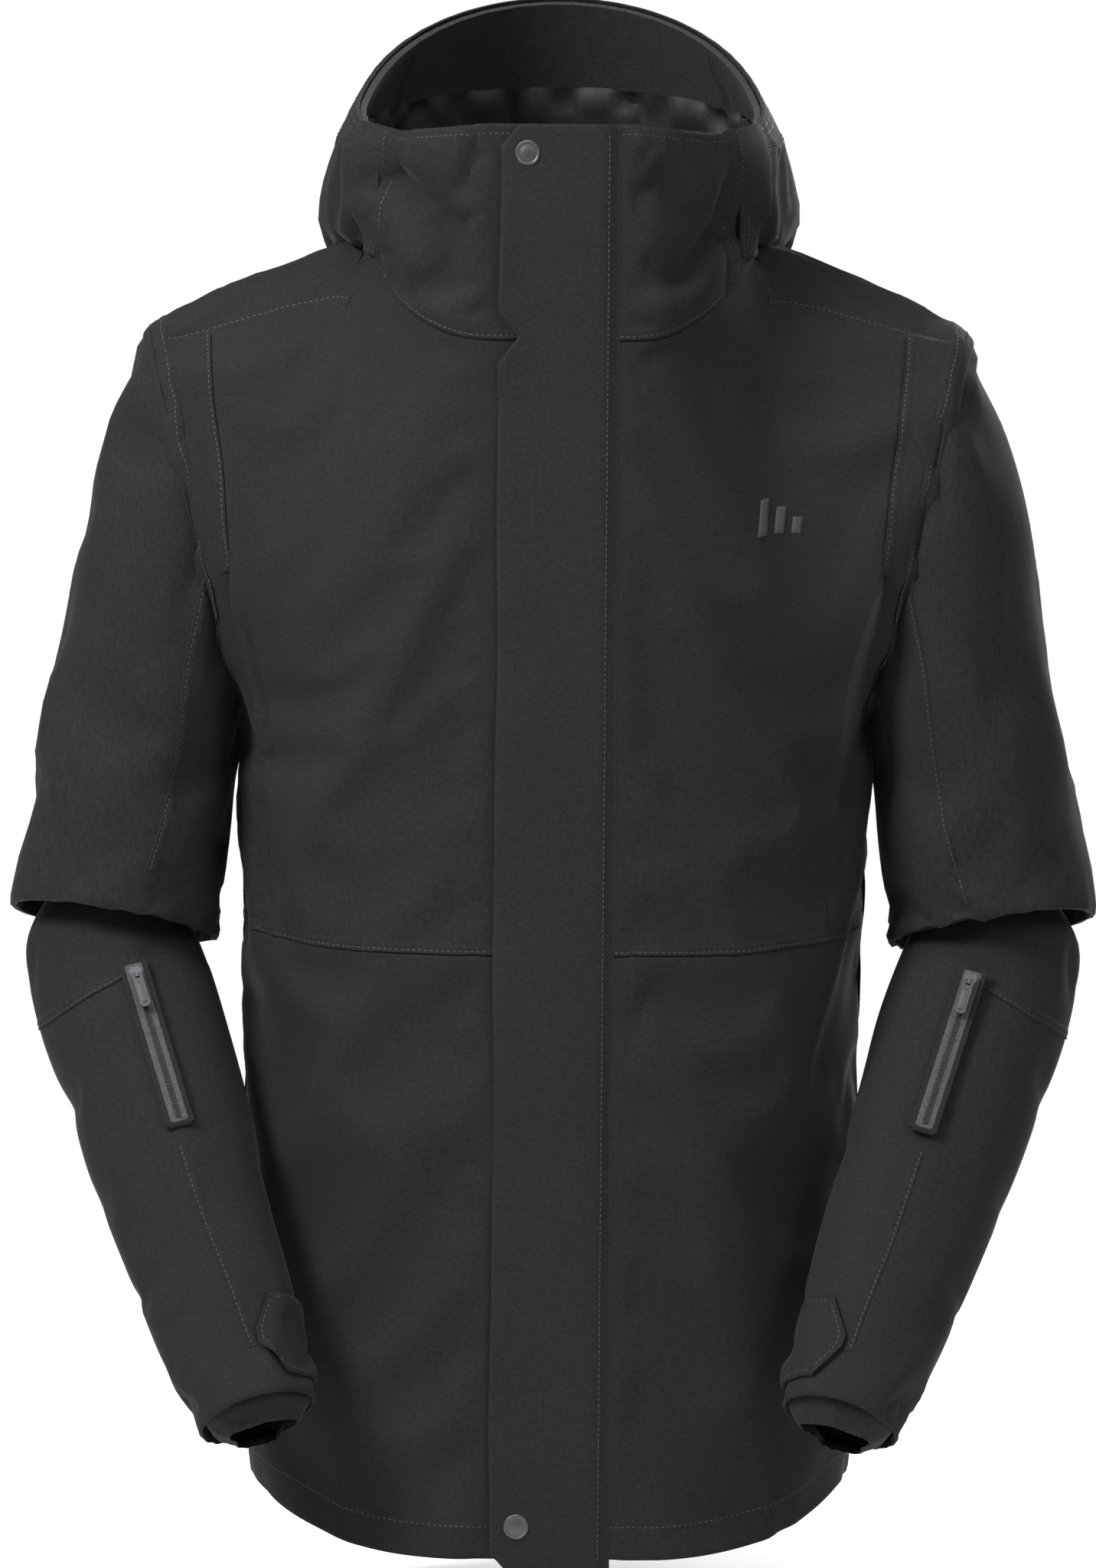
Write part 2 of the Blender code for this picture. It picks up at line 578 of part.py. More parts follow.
def slider_block(name, frame, size, heights, bail):
    """Zip slider: a tapered body with a bail standing on its middle."""
    base, across, along, out = frame
    low, high = heights
    bm = bmesh.new()
    half, end = size[0] / 2, size[1] / 2
    outline = [(-half * 0.7, -end), (half * 0.7, -end), (half, end * 0.2), (half, end * 0.7),
               (half * 0.6, end), (-half * 0.6, end), (-half, end * 0.7), (-half, end * 0.2)]
    ring = [bm.verts.new(Vector((a, b, low))) for a, b in outline]
    body_face = bm.faces.new(ring)
    top = bmesh.ops.extrude_face_region(bm, geom=[body_face])
    lifted = [g for g in top["geom"] if isinstance(g, bmesh.types.BMVert)]
    bmesh.ops.translate(bm, verts=lifted, vec=Vector((0, 0, high - low)))
    top_face = [g for g in top["geom"] if isinstance(g, bmesh.types.BMFace)][0]
    bmesh.ops.inset_individual(bm, faces=[top_face], thickness=half * 0.3)
    for vert in top_face.verts:
        vert.co.x = math.copysign(BAIL_HALF, vert.co.x)
        vert.co.y = max(-BAIL_REACH, min(BAIL_REACH, vert.co.y))
    raised = bmesh.ops.extrude_face_region(bm, geom=[top_face])
    bmesh.ops.delete(bm, geom=[top_face], context="FACES_ONLY")
    lifted = [g for g in raised["geom"] if isinstance(g, bmesh.types.BMVert)]
    bmesh.ops.translate(bm, verts=lifted, vec=Vector((0, 0, bail)))
    bm.verts.index_update()
    verts = [base + v.co.x * across + v.co.y * along + v.co.z * out for v in bm.verts]
    faces = [[v.index for v in f.verts] for f in bm.faces]
    bm.free()
    return add_object(name, verts, faces, "metal")


def pull_tab(name, frame, size, heights, origin=(0.0, 0.0, 0.0)):
    """Puller: a rounded tab hanging from the bail, forked at its top."""
    half, length = size[0] / 2, size[1]
    fork, top, corner = PULLER_FORK, PULLER_TOP, PULLER_ROUND
    outline = [(-fork, top), (-fork, PULLER_THROAT), (fork, PULLER_THROAT), (fork, top),
               (half, top), (half, -length + corner), (half - corner, -length),
               (-half + corner, -length), (-half, -length + corner), (-half, top)]
    return prism(name, outline, frame, *heights, "trim", origin)


def make_storm_flap():
    """Storm flap: body flap, collar tab, snap caps and sockets, hinged on the sewn edge."""
    frame = front_frame()
    hinge = flap_hinge()
    e, c = FLAP_HALF, FLAP_CHAMFER
    notch = (NOTCH_TOP + NOTCH_BOTTOM) / 2
    low, high = FLAP_INNER, FLAP_INNER + FLAP_THICK
    body_outline = [(-e + c * 0.75, FLAP_BOTTOM), (e, FLAP_BOTTOM), (e, notch - 0.0006),
                    (-e + NOTCH_DEPTH, notch - 0.0006), (-e, NOTCH_BOTTOM), (-e, FLAP_BOTTOM + c * 0.75)]
    tab_outline = [(-e + NOTCH_DEPTH, notch), (e, notch), (e, FLAP_TOP), (-e + c, FLAP_TOP),
                   (-e, FLAP_TOP - c), (-e, NOTCH_TOP)]
    prism("storm_flap", body_outline, frame, low, high, "flap", hinge)
    prism("collar_tab", tab_outline, frame, low, high, "flap", hinge)
    for place, h in SNAP_HEIGHTS.items():
        seat = front_frame(SNAP_X, h)
        rim = high + 0.0003
        cap = [(0, rim), (SNAP_RADIUS, rim), (SNAP_RADIUS, rim + 0.0009),
               (SNAP_RADIUS - 0.0012, rim + 0.0016), (SNAP_RADIUS - 0.0024, rim + 0.0018),
               (0, rim + 0.0018)]
        turned(f"snap_cap_{place}", cap, seat, "metal", 18)
        ring = [(0.0035, low - 0.0011), (0.006, low - 0.0011), (0.006, low - 0.0003), (0.0035, low - 0.0003)]
        turned(f"snap_socket_{place}", ring, seat, "metal", 12)


def flap_hinge():
    """A point on the storm flap's hinge line: its sewn edge, at the outer face."""
    base, _, _, out = front_frame(FLAP_HALF, 0.0)
    return base + out * (FLAP_INNER + FLAP_THICK)


# ---- hood -----------------------------------------------------------------------------------------
def make_hood():
    """Hood panels, brim and lining, hinged in front of the shoulders."""
    limits = ((-1.0, 1.0), (0.0, 1.0))
    part, gap, brim = 0.36, 0.002, 0.87
    outside, inside = (-SHELL_THICK, 0.0), (0.0040, 0.0052)
    pieces = [("hood_centre", (-part + gap, part - gap), (0.0, brim - gap), (6, 8), outside, "outer"),
              ("hood_side_L", (part + gap, 1.0), (0.0, brim - gap), (6, 6), outside, "outer"),
              ("hood_side_R", (-1.0, -part - gap), (0.0, brim - gap), (6, 6), outside, "outer"),
              ("hood_brim", (-1.0, 1.0), (brim + gap, 1.0), (18, 1), outside, "outer"),
              ("hood_facing", (-0.96, 0.96), (0.76, 0.985), (18, 2), inside, "outer"),
              ("hood_lining", (-0.95, 0.95), (0.03, 0.75), (18, 7), inside, "lining")]
    for name, f_edges, t_edges, cells, depths, finish in pieces:
        obj = panel(name, hood, f_edges, t_edges, cells, depths, finish, 1, limits)
        move_origin(obj, HOOD_PIVOT)


def move_origin(obj, point):
    """Puts an object's origin on a point, leaving its shape where it is."""
    shift = Vector(point) - obj.location
    for vert in obj.data.vertices:
        vert.co -= shift
    obj.location = Vector(point)


# ---- sleeves --------------------------------------------------------------------------------------
def upper_sleeve(turn, t, inset=0.0):
    """Upper sleeve surface, turn round it and t from the armhole to its hem."""
    keys = smooth(UPPER_SLEEVE, t)
    xi, zi, xo, zo, y, depth, slant = (keys[..., k] for k in range(7))
    centre = points((xi + xo) / 2, y, (zi + zo) / 2)
    across = points((xo - xi) / 2, 0.0, (zo - zi) / 2)
    size = np.linalg.norm(across, axis=-1, keepdims=True)
    across *= (size - inset) / size
    fore = points(0.0, -(depth - inset), slant * (depth - inset) / depth)
    return centre + across * np.cos(turn)[..., None] + fore * np.sin(turn)[..., None]


def forearm_frame():
    """Elbow point, and the directions across, to the front and down the forearm."""
    down = unit(CUFF - ELBOW)
    across = unit(np.array((-down[2], 0.0, down[0])))
    fore = np.cross(across, down)
    if fore[1] > 0:
        fore = -fore
    return ELBOW, across, fore, down


FOREARM_LENGTH = float(np.linalg.norm(CUFF - ELBOW))


def forearm(turn, s, inset=0.0):
    """Forearm surface: s is 0 at the elbow and 1 at the cuff, and below 0 on the rounded elbow."""
    base, across, fore, down = forearm_frame()
    radii = smooth(FOREARM_RADII, np.clip(s, 0, 1)) - inset
    lift = np.clip(-s * FOREARM_LENGTH / ELBOW_DOME_DEPTH, 0, 0.99)
    shrink = np.sqrt(1 - lift ** 2)
    ra, rf = radii[..., 0] * shrink, radii[..., 1] * shrink
    centre = base + down * (s * FOREARM_LENGTH)[..., None]
    return centre + across * (ra * np.cos(turn))[..., None] + fore * (rf * np.sin(turn))[..., None]


def tube(name, surface, rows, segments, thickness, finish, side, origin):
    """A sleeve tube through the given rows of a surface."""
    turn, t = np.meshgrid(np.arange(segments) * 2 * math.pi / segments, np.array(rows), indexing="ij")
    outer = mirrored(surface(turn, t), side)
    inner = mirrored(surface(turn, t, thickness), side)
    return slab(name, outer, inner, finish, wrap=True, origin=origin)


def shifted(surface, inset):
    """The same surface, set in by a distance."""
    def inner(turn, t, more=0.0):
        return surface(turn, t, inset + more)
    return inner


def make_sleeve(tag, side):
    """Upper sleeve and forearm of one side, with the wrist gaiter."""
    shoulder = mirrored(np.array(SHOULDER_PIVOT), side)
    elbow = mirrored(ELBOW, side)
    tube(f"upper_sleeve_{tag}", upper_sleeve, (0, 0.18, 0.4, 0.62, 0.82, 1.0), 16, SLEEVE_THICK,
         "outer", side, shoulder)
    tube(f"forearm_{tag}", forearm, (-0.11, -0.07, 0.0, 0.09, 0.35, 0.65, 0.85, 1.0), 16,
         SLEEVE_THICK, "outer", side, elbow)
    tube(f"wrist_gaiter_{tag}", shifted(forearm, SLEEVE_THICK + 0.0022), (0.83, 1.015), 12, 0.0015,
         "lining", side, elbow)


def forearm_out(turn, s):
    """Outward unit normals of the forearm."""
    step = 1e-3
    du = forearm(turn + step, s) - forearm(turn - step, s)
    ds = forearm(turn, s + step) - forearm(turn, s - step)
    out = unit(np.cross(du, ds))
    base, across, fore, down = forearm_frame()
    axis = base + down * (s * FOREARM_LENGTH)[..., None]
    away = np.sum(out * (forearm(turn, s) - axis), axis=-1, keepdims=True)
    return out * np.sign(away)


def make_cuff_tab(tag, side):
    """Cuff adjuster tab, sewn at its inner end."""
    a, b = np.meshgrid(np.linspace(0, 1, 7), np.linspace(0, 1, 5), indexing="ij")
    corner = 0.16 * np.abs(2 * b - 1) ** 3
    turn = TAB_ANGLES[0] + (TAB_ANGLES[1] - TAB_ANGLES[0]) * (a * (1 - corner) + corner)
    s = TAB_S[0] + (TAB_S[1] - TAB_S[0]) * b
    base, out = forearm(turn, s), forearm_out(turn, s)
    grids = [mirrored(base + out * h, side) for h in TAB_HEIGHTS]
    slab(f"cuff_tab_{tag}", grids[1], grids[0], "outer", origin=tab_hinge(side))


def tab_hinge(side):
    """The middle of the sewn edge of the cuff tab."""
    s, turn = np.array(sum(TAB_S) / 2), np.array(TAB_ANGLES[1])
    height = sum(TAB_HEIGHTS) / 2
    return mirrored(forearm(turn, s) + forearm_out(turn, s) * height, side)


def pocket_frame(side, s):
    """Frame on the forearm pocket's zip line: across, up the sleeve, and out."""
    turn = np.array(POCKET_ANGLE)
    top, bottom = forearm(turn, np.array(POCKET_S[0])), forearm(turn, np.array(POCKET_S[1]))
    along = unit(top - bottom)
    out = forearm_out(turn, np.array(sum(POCKET_S) / 2))
    out = unit(out - along * np.dot(out, along))
    across = np.cross(along, out)
    base = bottom + (top - bottom) * s
    return tuple(mirrored(p, side) for p in (base, across, along, out))


def make_sleeve_pocket(tag, side):
    """Forearm pocket: tape, coil, slider and puller."""
    length = float(np.linalg.norm(pocket_frame(1, 1.0)[0] - pocket_frame(1, 0.0)[0]))
    bottom = pocket_frame(side, 0.0)
    tape = rectangle(-POCKET_TAPE_HALF, POCKET_TAPE_HALF, 0.0, length)
    prism(f"pocket_tape_{tag}", tape, bottom, *POCKET_TAPE_HEIGHTS, "tape", bottom[0])
    inset = POCKET_COIL_INSET
    coil = rectangle(-POCKET_COIL_HALF, POCKET_COIL_HALF, inset, length - inset)
    prism(f"pocket_coil_{tag}", coil, bottom, *POCKET_COIL_HEIGHTS, "trim", bottom[0])
    seat = pocket_frame(side, POCKET_SLIDER_AT)
    slider_block(f"pocket_slider_{tag}", seat, POCKET_SLIDER_SIZE, (0.0034, 0.0050), 0.0026)
    pull_tab(f"pocket_puller_{tag}", seat, POCKET_PULLER_SIZE, POCKET_PULLER_HEIGHTS, puller_hinge(side))


def puller_hinge(side):
    """A point on the axis of the pocket puller, through the slider's bail."""
    base, _, _, out = pocket_frame(side, POCKET_SLIDER_AT)
    return base + out * POCKET_BAIL_HEIGHT


# ---- trim -----------------------------------------------------------------------------------------
def make_chest_mark():
    """Small raised mark on the wearer's left chest."""
    panel("chest_mark", body, MARK_U, MARK_V, (3, 2), MARK_DEPTHS, "trim")


def build():
    """The whole jacket."""
    for obj in list(bpy.data.objects):
        bpy.data.objects.remove(obj)
    for tag, side in (("L", 1), ("R", -1)):
        make_front(tag, side)
        make_collar(tag, side)
        make_sleeve(tag, side)
        make_cuff_tab(tag, side)
        make_sleeve_pocket(tag, side)
    make_back()
    make_skirt()
    make_hanger_loop()
    make_front_closure()
    make_main_slider()
    make_storm_flap()
    make_hood()
    make_chest_mark()


build()
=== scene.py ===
"""Ski jacket: padded cloth shell, storm flap, hood, sleeves with zipped pockets, linings and trims.

Metres, +Z up, -Y is the front of the jacket and +X is the wearer's left. Cloth runs give every panel its
drape, and the panels, seams and stitches are then built on the draped surfaces.
"""

import math

import bpy
import numpy as np
from mathutils import Matrix, Vector


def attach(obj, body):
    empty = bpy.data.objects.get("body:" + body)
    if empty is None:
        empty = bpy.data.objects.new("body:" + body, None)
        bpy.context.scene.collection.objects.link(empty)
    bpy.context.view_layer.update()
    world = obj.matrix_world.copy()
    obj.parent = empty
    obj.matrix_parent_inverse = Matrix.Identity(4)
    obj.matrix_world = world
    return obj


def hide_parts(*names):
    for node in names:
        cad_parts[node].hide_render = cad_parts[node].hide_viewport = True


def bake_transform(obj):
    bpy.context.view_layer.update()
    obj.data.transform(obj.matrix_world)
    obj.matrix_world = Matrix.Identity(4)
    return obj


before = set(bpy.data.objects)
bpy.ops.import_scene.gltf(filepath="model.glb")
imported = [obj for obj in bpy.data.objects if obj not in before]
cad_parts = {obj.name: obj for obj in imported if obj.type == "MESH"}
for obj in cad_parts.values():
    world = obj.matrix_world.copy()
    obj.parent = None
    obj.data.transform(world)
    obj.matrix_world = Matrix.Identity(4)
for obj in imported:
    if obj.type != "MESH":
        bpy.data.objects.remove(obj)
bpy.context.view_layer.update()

# ---- dimensions, metres ---------------------------------------------------------------------------
HEM_FRONT_Z = -0.790
ARMPIT_Z = -0.289
WAIST_V = 0.733
NECK_FRONT_Z = -0.052
NECK_SIDE_Z = 0.003
NECK_BACK_Z = 0.008
NECK_HALF = 0.113
NECK_BACK_Y = 0.006
SIDE_Y = -0.075
STRIP_HALF = 0.042
FRONT_HEM_Y = -0.217
FRONT_LEAN = 0.0357
HALF_WIDTHS = [(-0.80, 0.177), (-0.74, 0.1825), (-0.45, 0.1875), (ARMPIT_Z, 0.1925)]
BACK_DEPTHS = [(-0.80, 0.055), (-0.52, 0.037), (-0.20, 0.065), (-0.08, 0.048), (NECK_BACK_Z, NECK_BACK_Y)]
HEM_HEIGHTS = [(0.0, HEM_FRONT_Z), (0.45, -0.785), (0.62, -0.774), (0.85, -0.759), (1.0, -0.755),
               (1.3, -0.771), (2.0, -0.797)]
SHOULDER_LINE = [(0.0, (NECK_HALF, NECK_SIDE_Z)), (0.22, (0.139, 0.0)), (0.45, (0.1685, -0.0116)),
                 (0.78, (0.215, -0.030)), (1.0, (0.248, -0.0486))]
ARMHOLE_TIP = (0.248, -0.0486)
ARMHOLE_HALF_DEPTH = 0.065
ROUNDNESS = 2 / 2.2
SHELL = 0.0025
YOKE_V = 1.88
SIDE_SEAM_U = [(0.0, 0.70), (0.8, 0.70), (1.0, 0.745), (1.2, 0.815), (1.38, 0.88), (1.6, 0.893),
               (2.0, 0.893)]
FLAP_HALF = 0.036
FLAP_INNER = 0.0040
FLAP_THICK = 0.0024
FLAP_TOP = 0.079
FLAP_BOTTOM = -0.797
SNAP_X = -0.0195
SNAP_HEIGHTS = {"top": 0.0615, "bottom": -0.770}
SNAP_RADIUS = 0.0075
FLOOR_Z = -0.842
FLOOR_RADIUS = 1.8
CAMERA_TARGET = Vector((-0.004, -0.20, -0.319))
CAMERA_DISTANCE = 6.0
CAMERA_TILT = math.radians(5.0)
CAMERA_ROLL = math.radians(0.5)
PICTURE_WIDTH = 0.948
LIGHTS = [
    # name, place, aimed at, width and height, watts
    ("key", (-1.65, -1.45, 1.45), (0.0, -0.15, -0.25), (0.9, 0.9), 150),
    ("fill", (2.0, -2.0, 1.6), (0.1, -0.15, 0.0), (1.6, 1.6), 60),
    ("top", (-0.2, -0.5, 2.2), (0.0, -0.1, 0.0), (1.4, 1.0), 44),
    ("behind", (1.4, 2.2, 1.2), (0.0, 0.0, -0.25), (1.4, 1.4), 110),
]
COLLAR_TOP_Z = 0.079
COLLAR_SIDE_TOP_Z = 0.072
COLLAR_TOP_HALF = 0.109
COLLAR_SET_FORWARD = 0.008
COLLAR_SEAM_C = 0.445
HOOD_ARC = math.radians(117)
HOOD_BACK = [(0.0, (0.086, 0.012)), (0.14, (0.128, -0.018)), (0.28, (0.180, -0.075)),
             (0.42, (0.220, -0.098)), (0.56, (0.240, -0.062)), (0.70, (0.236, 0.0)),
             (0.86, (0.208, 0.080)), (1.0, (0.165, 0.152))]
HOOD_SIDE = [(0.0, (0.1215, 0.010)), (0.14, (0.129, 0.011)), (0.28, (0.136, 0.013)),
             (0.42, (0.1405, 0.017)), (0.56, (0.1425, 0.025)), (0.70, (0.1415, 0.040)),
             (0.86, (0.135, 0.065)), (1.0, (0.1235, 0.088))]
HOOD_EDGE_RADIUS = 0.1225
HOOD_EDGE_Z = (-0.004, 0.073)
HOOD_PART = 0.36
HOOD_BRIM = 0.87
HOOD_LINING_DEPTH = -0.0080
HOOD_LINING_F = (-0.95, 0.95)
HOOD_LINING_T = (0.03, 0.90)
UPPER_SLEEVE = [
    # inner x, inner z, outer x, outer z, centre y, half depth, hem slant
    (0.00, (0.1938, -0.2897, 0.2492, -0.0492, -0.075, 0.0652, 0.0)),
    (0.35, (0.1985, -0.3120, 0.2850, -0.1400, -0.078, 0.064, 0.0)),
    (0.60, (0.2030, -0.3370, 0.3010, -0.2250, -0.083, 0.061, 0.0)),
    (0.80, (0.2065, -0.3700, 0.3160, -0.3080, -0.089, 0.059, 0.004)),
    (1.00, (0.2115, -0.4240, 0.3300, -0.4060, -0.096, 0.0565, 0.014)),
]
ELBOW = np.array((0.2720, -0.095, -0.430))
CUFF = np.array((0.176, -0.252, -0.699))
ELBOW_DOME_DEPTH = 0.0480
FOREARM_RADII = [(0.0, (0.0515, 0.0480)), (0.08, (0.0545, 0.0480)), (0.35, (0.0530, 0.0465)),
                 (0.65, (0.0465, 0.0420)), (1.0, (0.0365, 0.0340))]
TAB_S = (0.80, 0.965)
TAB_ANGLES = (math.radians(115), math.radians(190))
POCKET_ANGLE = math.radians(103)
POCKET_S = (0.120, 0.440)
POCKET_SLIDER_AT = 0.925

FULL_TURN = (0.0, 2 * math.pi)
FOREARM_SPAN = (-0.11, 1.0)
GAITER_SPAN = (0.80, 1.035)
GAITER_FLAT_ENDS = 0.97
YOKE_U = 0.548
SIDE_SCALE = 0.24
POCKET_LIP_HEIGHT = 0.0052
POCKET_LIP_SPAN = (0.86, 1.44)
POCKET_MOUTH_SPAN = (0.88, 1.42)
POCKET_HOLLOW_DEPTH = -0.0026
LINING_DEPTHS = (-0.0066, -0.0056)
HEM_STITCH_UP = 0.020
ROLL = 0.0010
ROLL_REACH = 0.0009
PANEL_CELL = 0.0048
BACK_CELL = 0.006
SEAM_STEP = 0.004
LAP_UV = 0.0012
STITCH = (0.0036, 0.0025, 0.0007, 0.0004)  # pitch, length, width, rise
LOOP_STITCH = (0.0012, 0.0010, 0.0006, 0.0003)
FLAP_STITCH_X = 0.0300
FLAP_SEWN_DIP = -0.0037
MAIN_ZIP_SPAN = (-0.772, 0.062)
BEVEL_WIDTH = 0.0003
GUSSET_FOOT_Z = -0.020

CLOTH_FRAMES = 22
SIDES = (("L", 1), ("R", -1))


# ---- surfaces -------------------------------------------------------------------------------------
def smooth(keys, t):
    """A smooth value through the keys (position, value)."""
    pos = np.array([k[0] for k in keys], float)
    val = np.array([k[1] for k in keys], float)
    slope = np.gradient(val, pos, axis=0)
    t = np.clip(np.asarray(t, float), pos[0], pos[-1])
    i = np.clip(np.searchsorted(pos, t, side="right") - 1, 0, len(pos) - 2)
    step = pos[i + 1] - pos[i]
    w = (t - pos[i]) / step
    if val.ndim == 2:
        w, step = w[..., None], step[..., None]
    rise = w * w * (3 - 2 * w)
    tangent = step * (w * (1 - w) ** 2 * slope[i] - w * w * (1 - w) * slope[i + 1])
    return val[i] * (1 - rise) + val[i + 1] * rise + tangent


def points(x, y, z):
    """Stacks three coordinates of any matching shapes into points."""
    return np.stack(np.broadcast_arrays(x, y, z), axis=-1).astype(float)


def unit(v):
    """The vectors at length one."""
    return v / np.maximum(np.linalg.norm(v, axis=-1, keepdims=True), 1e-12)


def ease(t):
    """A smooth step from 0 to 1."""
    t = np.clip(t, 0, 1)
    return t * t * (3 - 2 * t)


def run_along(pts):
    """Distance travelled at each point of a line."""
    return np.concatenate([[0], np.cumsum(np.linalg.norm(np.diff(pts, axis=0), axis=-1))])


def mirrored(side):
    """Factors that carry a place on the wearer's left over to a side."""
    return np.array((side, 1.0, 1.0))


def bump(offset, width):
    """A smooth bump of height one, fading with the distance from its middle."""
    return np.exp(-(offset / width) ** 2)


def plane_y(z):
    """Depth of the flat strip down the centre front."""
    return FRONT_HEM_Y + FRONT_LEAN * (z - HEM_FRONT_Z)


def body_ring(u, z):
    """Body outline at a height: u runs from 0 at centre front through 1 at the side to 2 at the back."""
    half = smooth(HALF_WIDTHS, z)
    start = STRIP_HALF / half * 0.9
    turn = np.clip((u - start) / (1 - start), 0, 1) * math.pi / 2
    front_x = STRIP_HALF + (half - STRIP_HALF) * np.sin(turn) ** ROUNDNESS
    front_y = SIDE_Y + (plane_y(z) - SIDE_Y) * np.cos(turn) ** ROUNDNESS
    front_x = np.where(u < start, STRIP_HALF * u / start, front_x)
    back_turn = np.clip(u - 1, 0, 1) * math.pi / 2
    back_x = half * np.cos(back_turn) ** ROUNDNESS
    back_y = SIDE_Y + (smooth(BACK_DEPTHS, z) - SIDE_Y) * np.sin(back_turn) ** ROUNDNESS
    front = u <= 1
    return points(np.where(front, front_x, back_x), np.where(front, front_y, back_y), z)


STRIP_U = float(STRIP_HALF / smooth(HALF_WIDTHS, ARMPIT_Z) * 0.9)
EDGE_U = STRIP_U * 0.006 / STRIP_HALF
NECK_U = 0.55
BACK_NECK_U = 1.45


def shoulder_line(s):
    """Ridge of the shoulder from the neck (0) to the armhole (1)."""
    xz = smooth(SHOULDER_LINE, s)
    return points(xz[..., 0], SIDE_Y, xz[..., 1])


def neck_front(turn):
    """Front quarter of the neck seam."""
    y = SIDE_Y + (plane_y(NECK_FRONT_Z) - SIDE_Y) * np.cos(turn)
    x = STRIP_HALF + (NECK_HALF - STRIP_HALF) * np.sin(turn)
    z = NECK_SIDE_Z + (NECK_FRONT_Z - NECK_SIDE_Z) * np.cos(turn) ** 1.25
    return points(x, y, z)


def neck_back(turn):
    """Back quarter of the neck seam."""
    y = SIDE_Y + (NECK_BACK_Y - SIDE_Y) * np.sin(turn)
    z = NECK_SIDE_Z + (NECK_BACK_Z - NECK_SIDE_Z) * np.sin(turn)
    return points(NECK_HALF * np.cos(turn), y, z)


def top_edge(u):
    """Neck seam and shoulder ridge along the top of the body."""
    quarter = math.pi / 2
    strip = points(STRIP_HALF * u / STRIP_U, plane_y(NECK_FRONT_Z), NECK_FRONT_Z)
    front = neck_front(np.clip((u - STRIP_U) / (NECK_U - STRIP_U), 0, 1) * quarter)
    ridge_front = shoulder_line(np.clip((u - NECK_U) / (1 - NECK_U), 0, 1))
    ridge_back = shoulder_line(np.clip((BACK_NECK_U - u) / (BACK_NECK_U - 1), 0, 1))
    back = neck_back(np.clip((u - BACK_NECK_U) / (2 - BACK_NECK_U), 0, 1) * quarter)
    u = u[..., None]
    edge = np.where(u < STRIP_U, strip, front)
    edge = np.where(u > NECK_U, ridge_front, edge)
    edge = np.where(u > 1, ridge_back, edge)
    return np.where(u > BACK_NECK_U, back, edge)


def armhole(b, to_front):
    """Armhole from the armpit (0) to the shoulder tip (1)."""
    turn = (b - 0.5) * math.pi
    half = smooth(HALF_WIDTHS, ARMPIT_Z)
    rise = (np.sin(turn) + 1) / 2
    x = half + (ARMHOLE_TIP[0] - half) * rise
    z = ARMPIT_Z + (ARMHOLE_TIP[1] - ARMPIT_Z) * rise
    depth = ARMHOLE_HALF_DEPTH * np.cos(turn)
    return points(x, np.where(to_front, SIDE_Y - depth, SIDE_Y + depth), z)


def centre_line(b, to_front):
    """Edge of the front strip, or the centre back, from armpit height to the neck."""
    z_front = ARMPIT_Z + (NECK_FRONT_Z - ARMPIT_Z) * b
    z_back = ARMPIT_Z + (NECK_BACK_Z - ARMPIT_Z) * b
    front = points(STRIP_HALF, plane_y(z_front), z_front)
    back = points(0.0, smooth(BACK_DEPTHS, z_back), z_back)
    return np.where(np.asarray(to_front)[..., None], front, back)


def upper_body(u, b):
    """Body between armpit height (b 0) and the top edge (b 1)."""
    front = u <= 1
    a = np.where(front, np.clip((u - STRIP_U) / (1 - STRIP_U), 0, 1), 2 - u)[..., None]
    zero, one = np.zeros_like(b), np.ones_like(b)
    corners = [centre_line(zero, front), armhole(zero, front), centre_line(one, front), armhole(one, front)]
    w = b[..., None]
    blended = (1 - w) * body_ring(u, np.full_like(u, ARMPIT_Z)) + w * top_edge(u)
    blended += (1 - a) * centre_line(b, front) + a * armhole(b, front)
    blended -= (1 - a) * (1 - w) * corners[0] + a * (1 - w) * corners[1]
    blended -= (1 - a) * w * corners[2] + a * w * corners[3]
    z = ARMPIT_Z + (NECK_FRONT_Z - ARMPIT_Z) * b
    strip = points(STRIP_HALF * u / STRIP_U, plane_y(z), z)
    return np.where((u < STRIP_U)[..., None], strip, blended)


def body(u, v):
    """Body surface: v is 0 at the hem, 1 at armpit height and 2 at the neck and shoulders."""
    u, v = np.broadcast_arrays(np.asarray(u, float), np.asarray(v, float))
    around = np.where(u > 2, 4 - u, u)
    hem = smooth(HEM_HEIGHTS, around)
    low = body_ring(around, hem + (ARMPIT_Z - hem) * np.clip(v, 0, 1))
    high = upper_body(around, np.clip(v - 1, 0, 1))
    pts = np.where((v <= 1)[..., None], low, high)
    pts[..., 0] *= np.where(u > 2, -1.0, 1.0)
    return pts


def collar(c, w):
    """Collar surface: c as u along the neck seam, w from the seam (0) to the top edge (1)."""
    c, w = np.broadcast_arrays(np.asarray(c, float), np.asarray(w, float))
    turn = np.clip((c - STRIP_U) / (NECK_U - STRIP_U), 0, 1) * math.pi / 2
    x = STRIP_HALF + (COLLAR_TOP_HALF - STRIP_HALF) * np.sin(turn)
    x = np.where(c < STRIP_U, STRIP_HALF * c / STRIP_U, x)
    z = COLLAR_TOP_Z + (COLLAR_SIDE_TOP_Z - COLLAR_TOP_Z) * np.sin(turn)
    side_y = SIDE_Y - COLLAR_SET_FORWARD
    y = side_y + (plane_y(COLLAR_TOP_Z) - side_y) * np.cos(turn)
    bottom = top_edge(c)
    return bottom + (points(x, y, z) - bottom) * w[..., None]


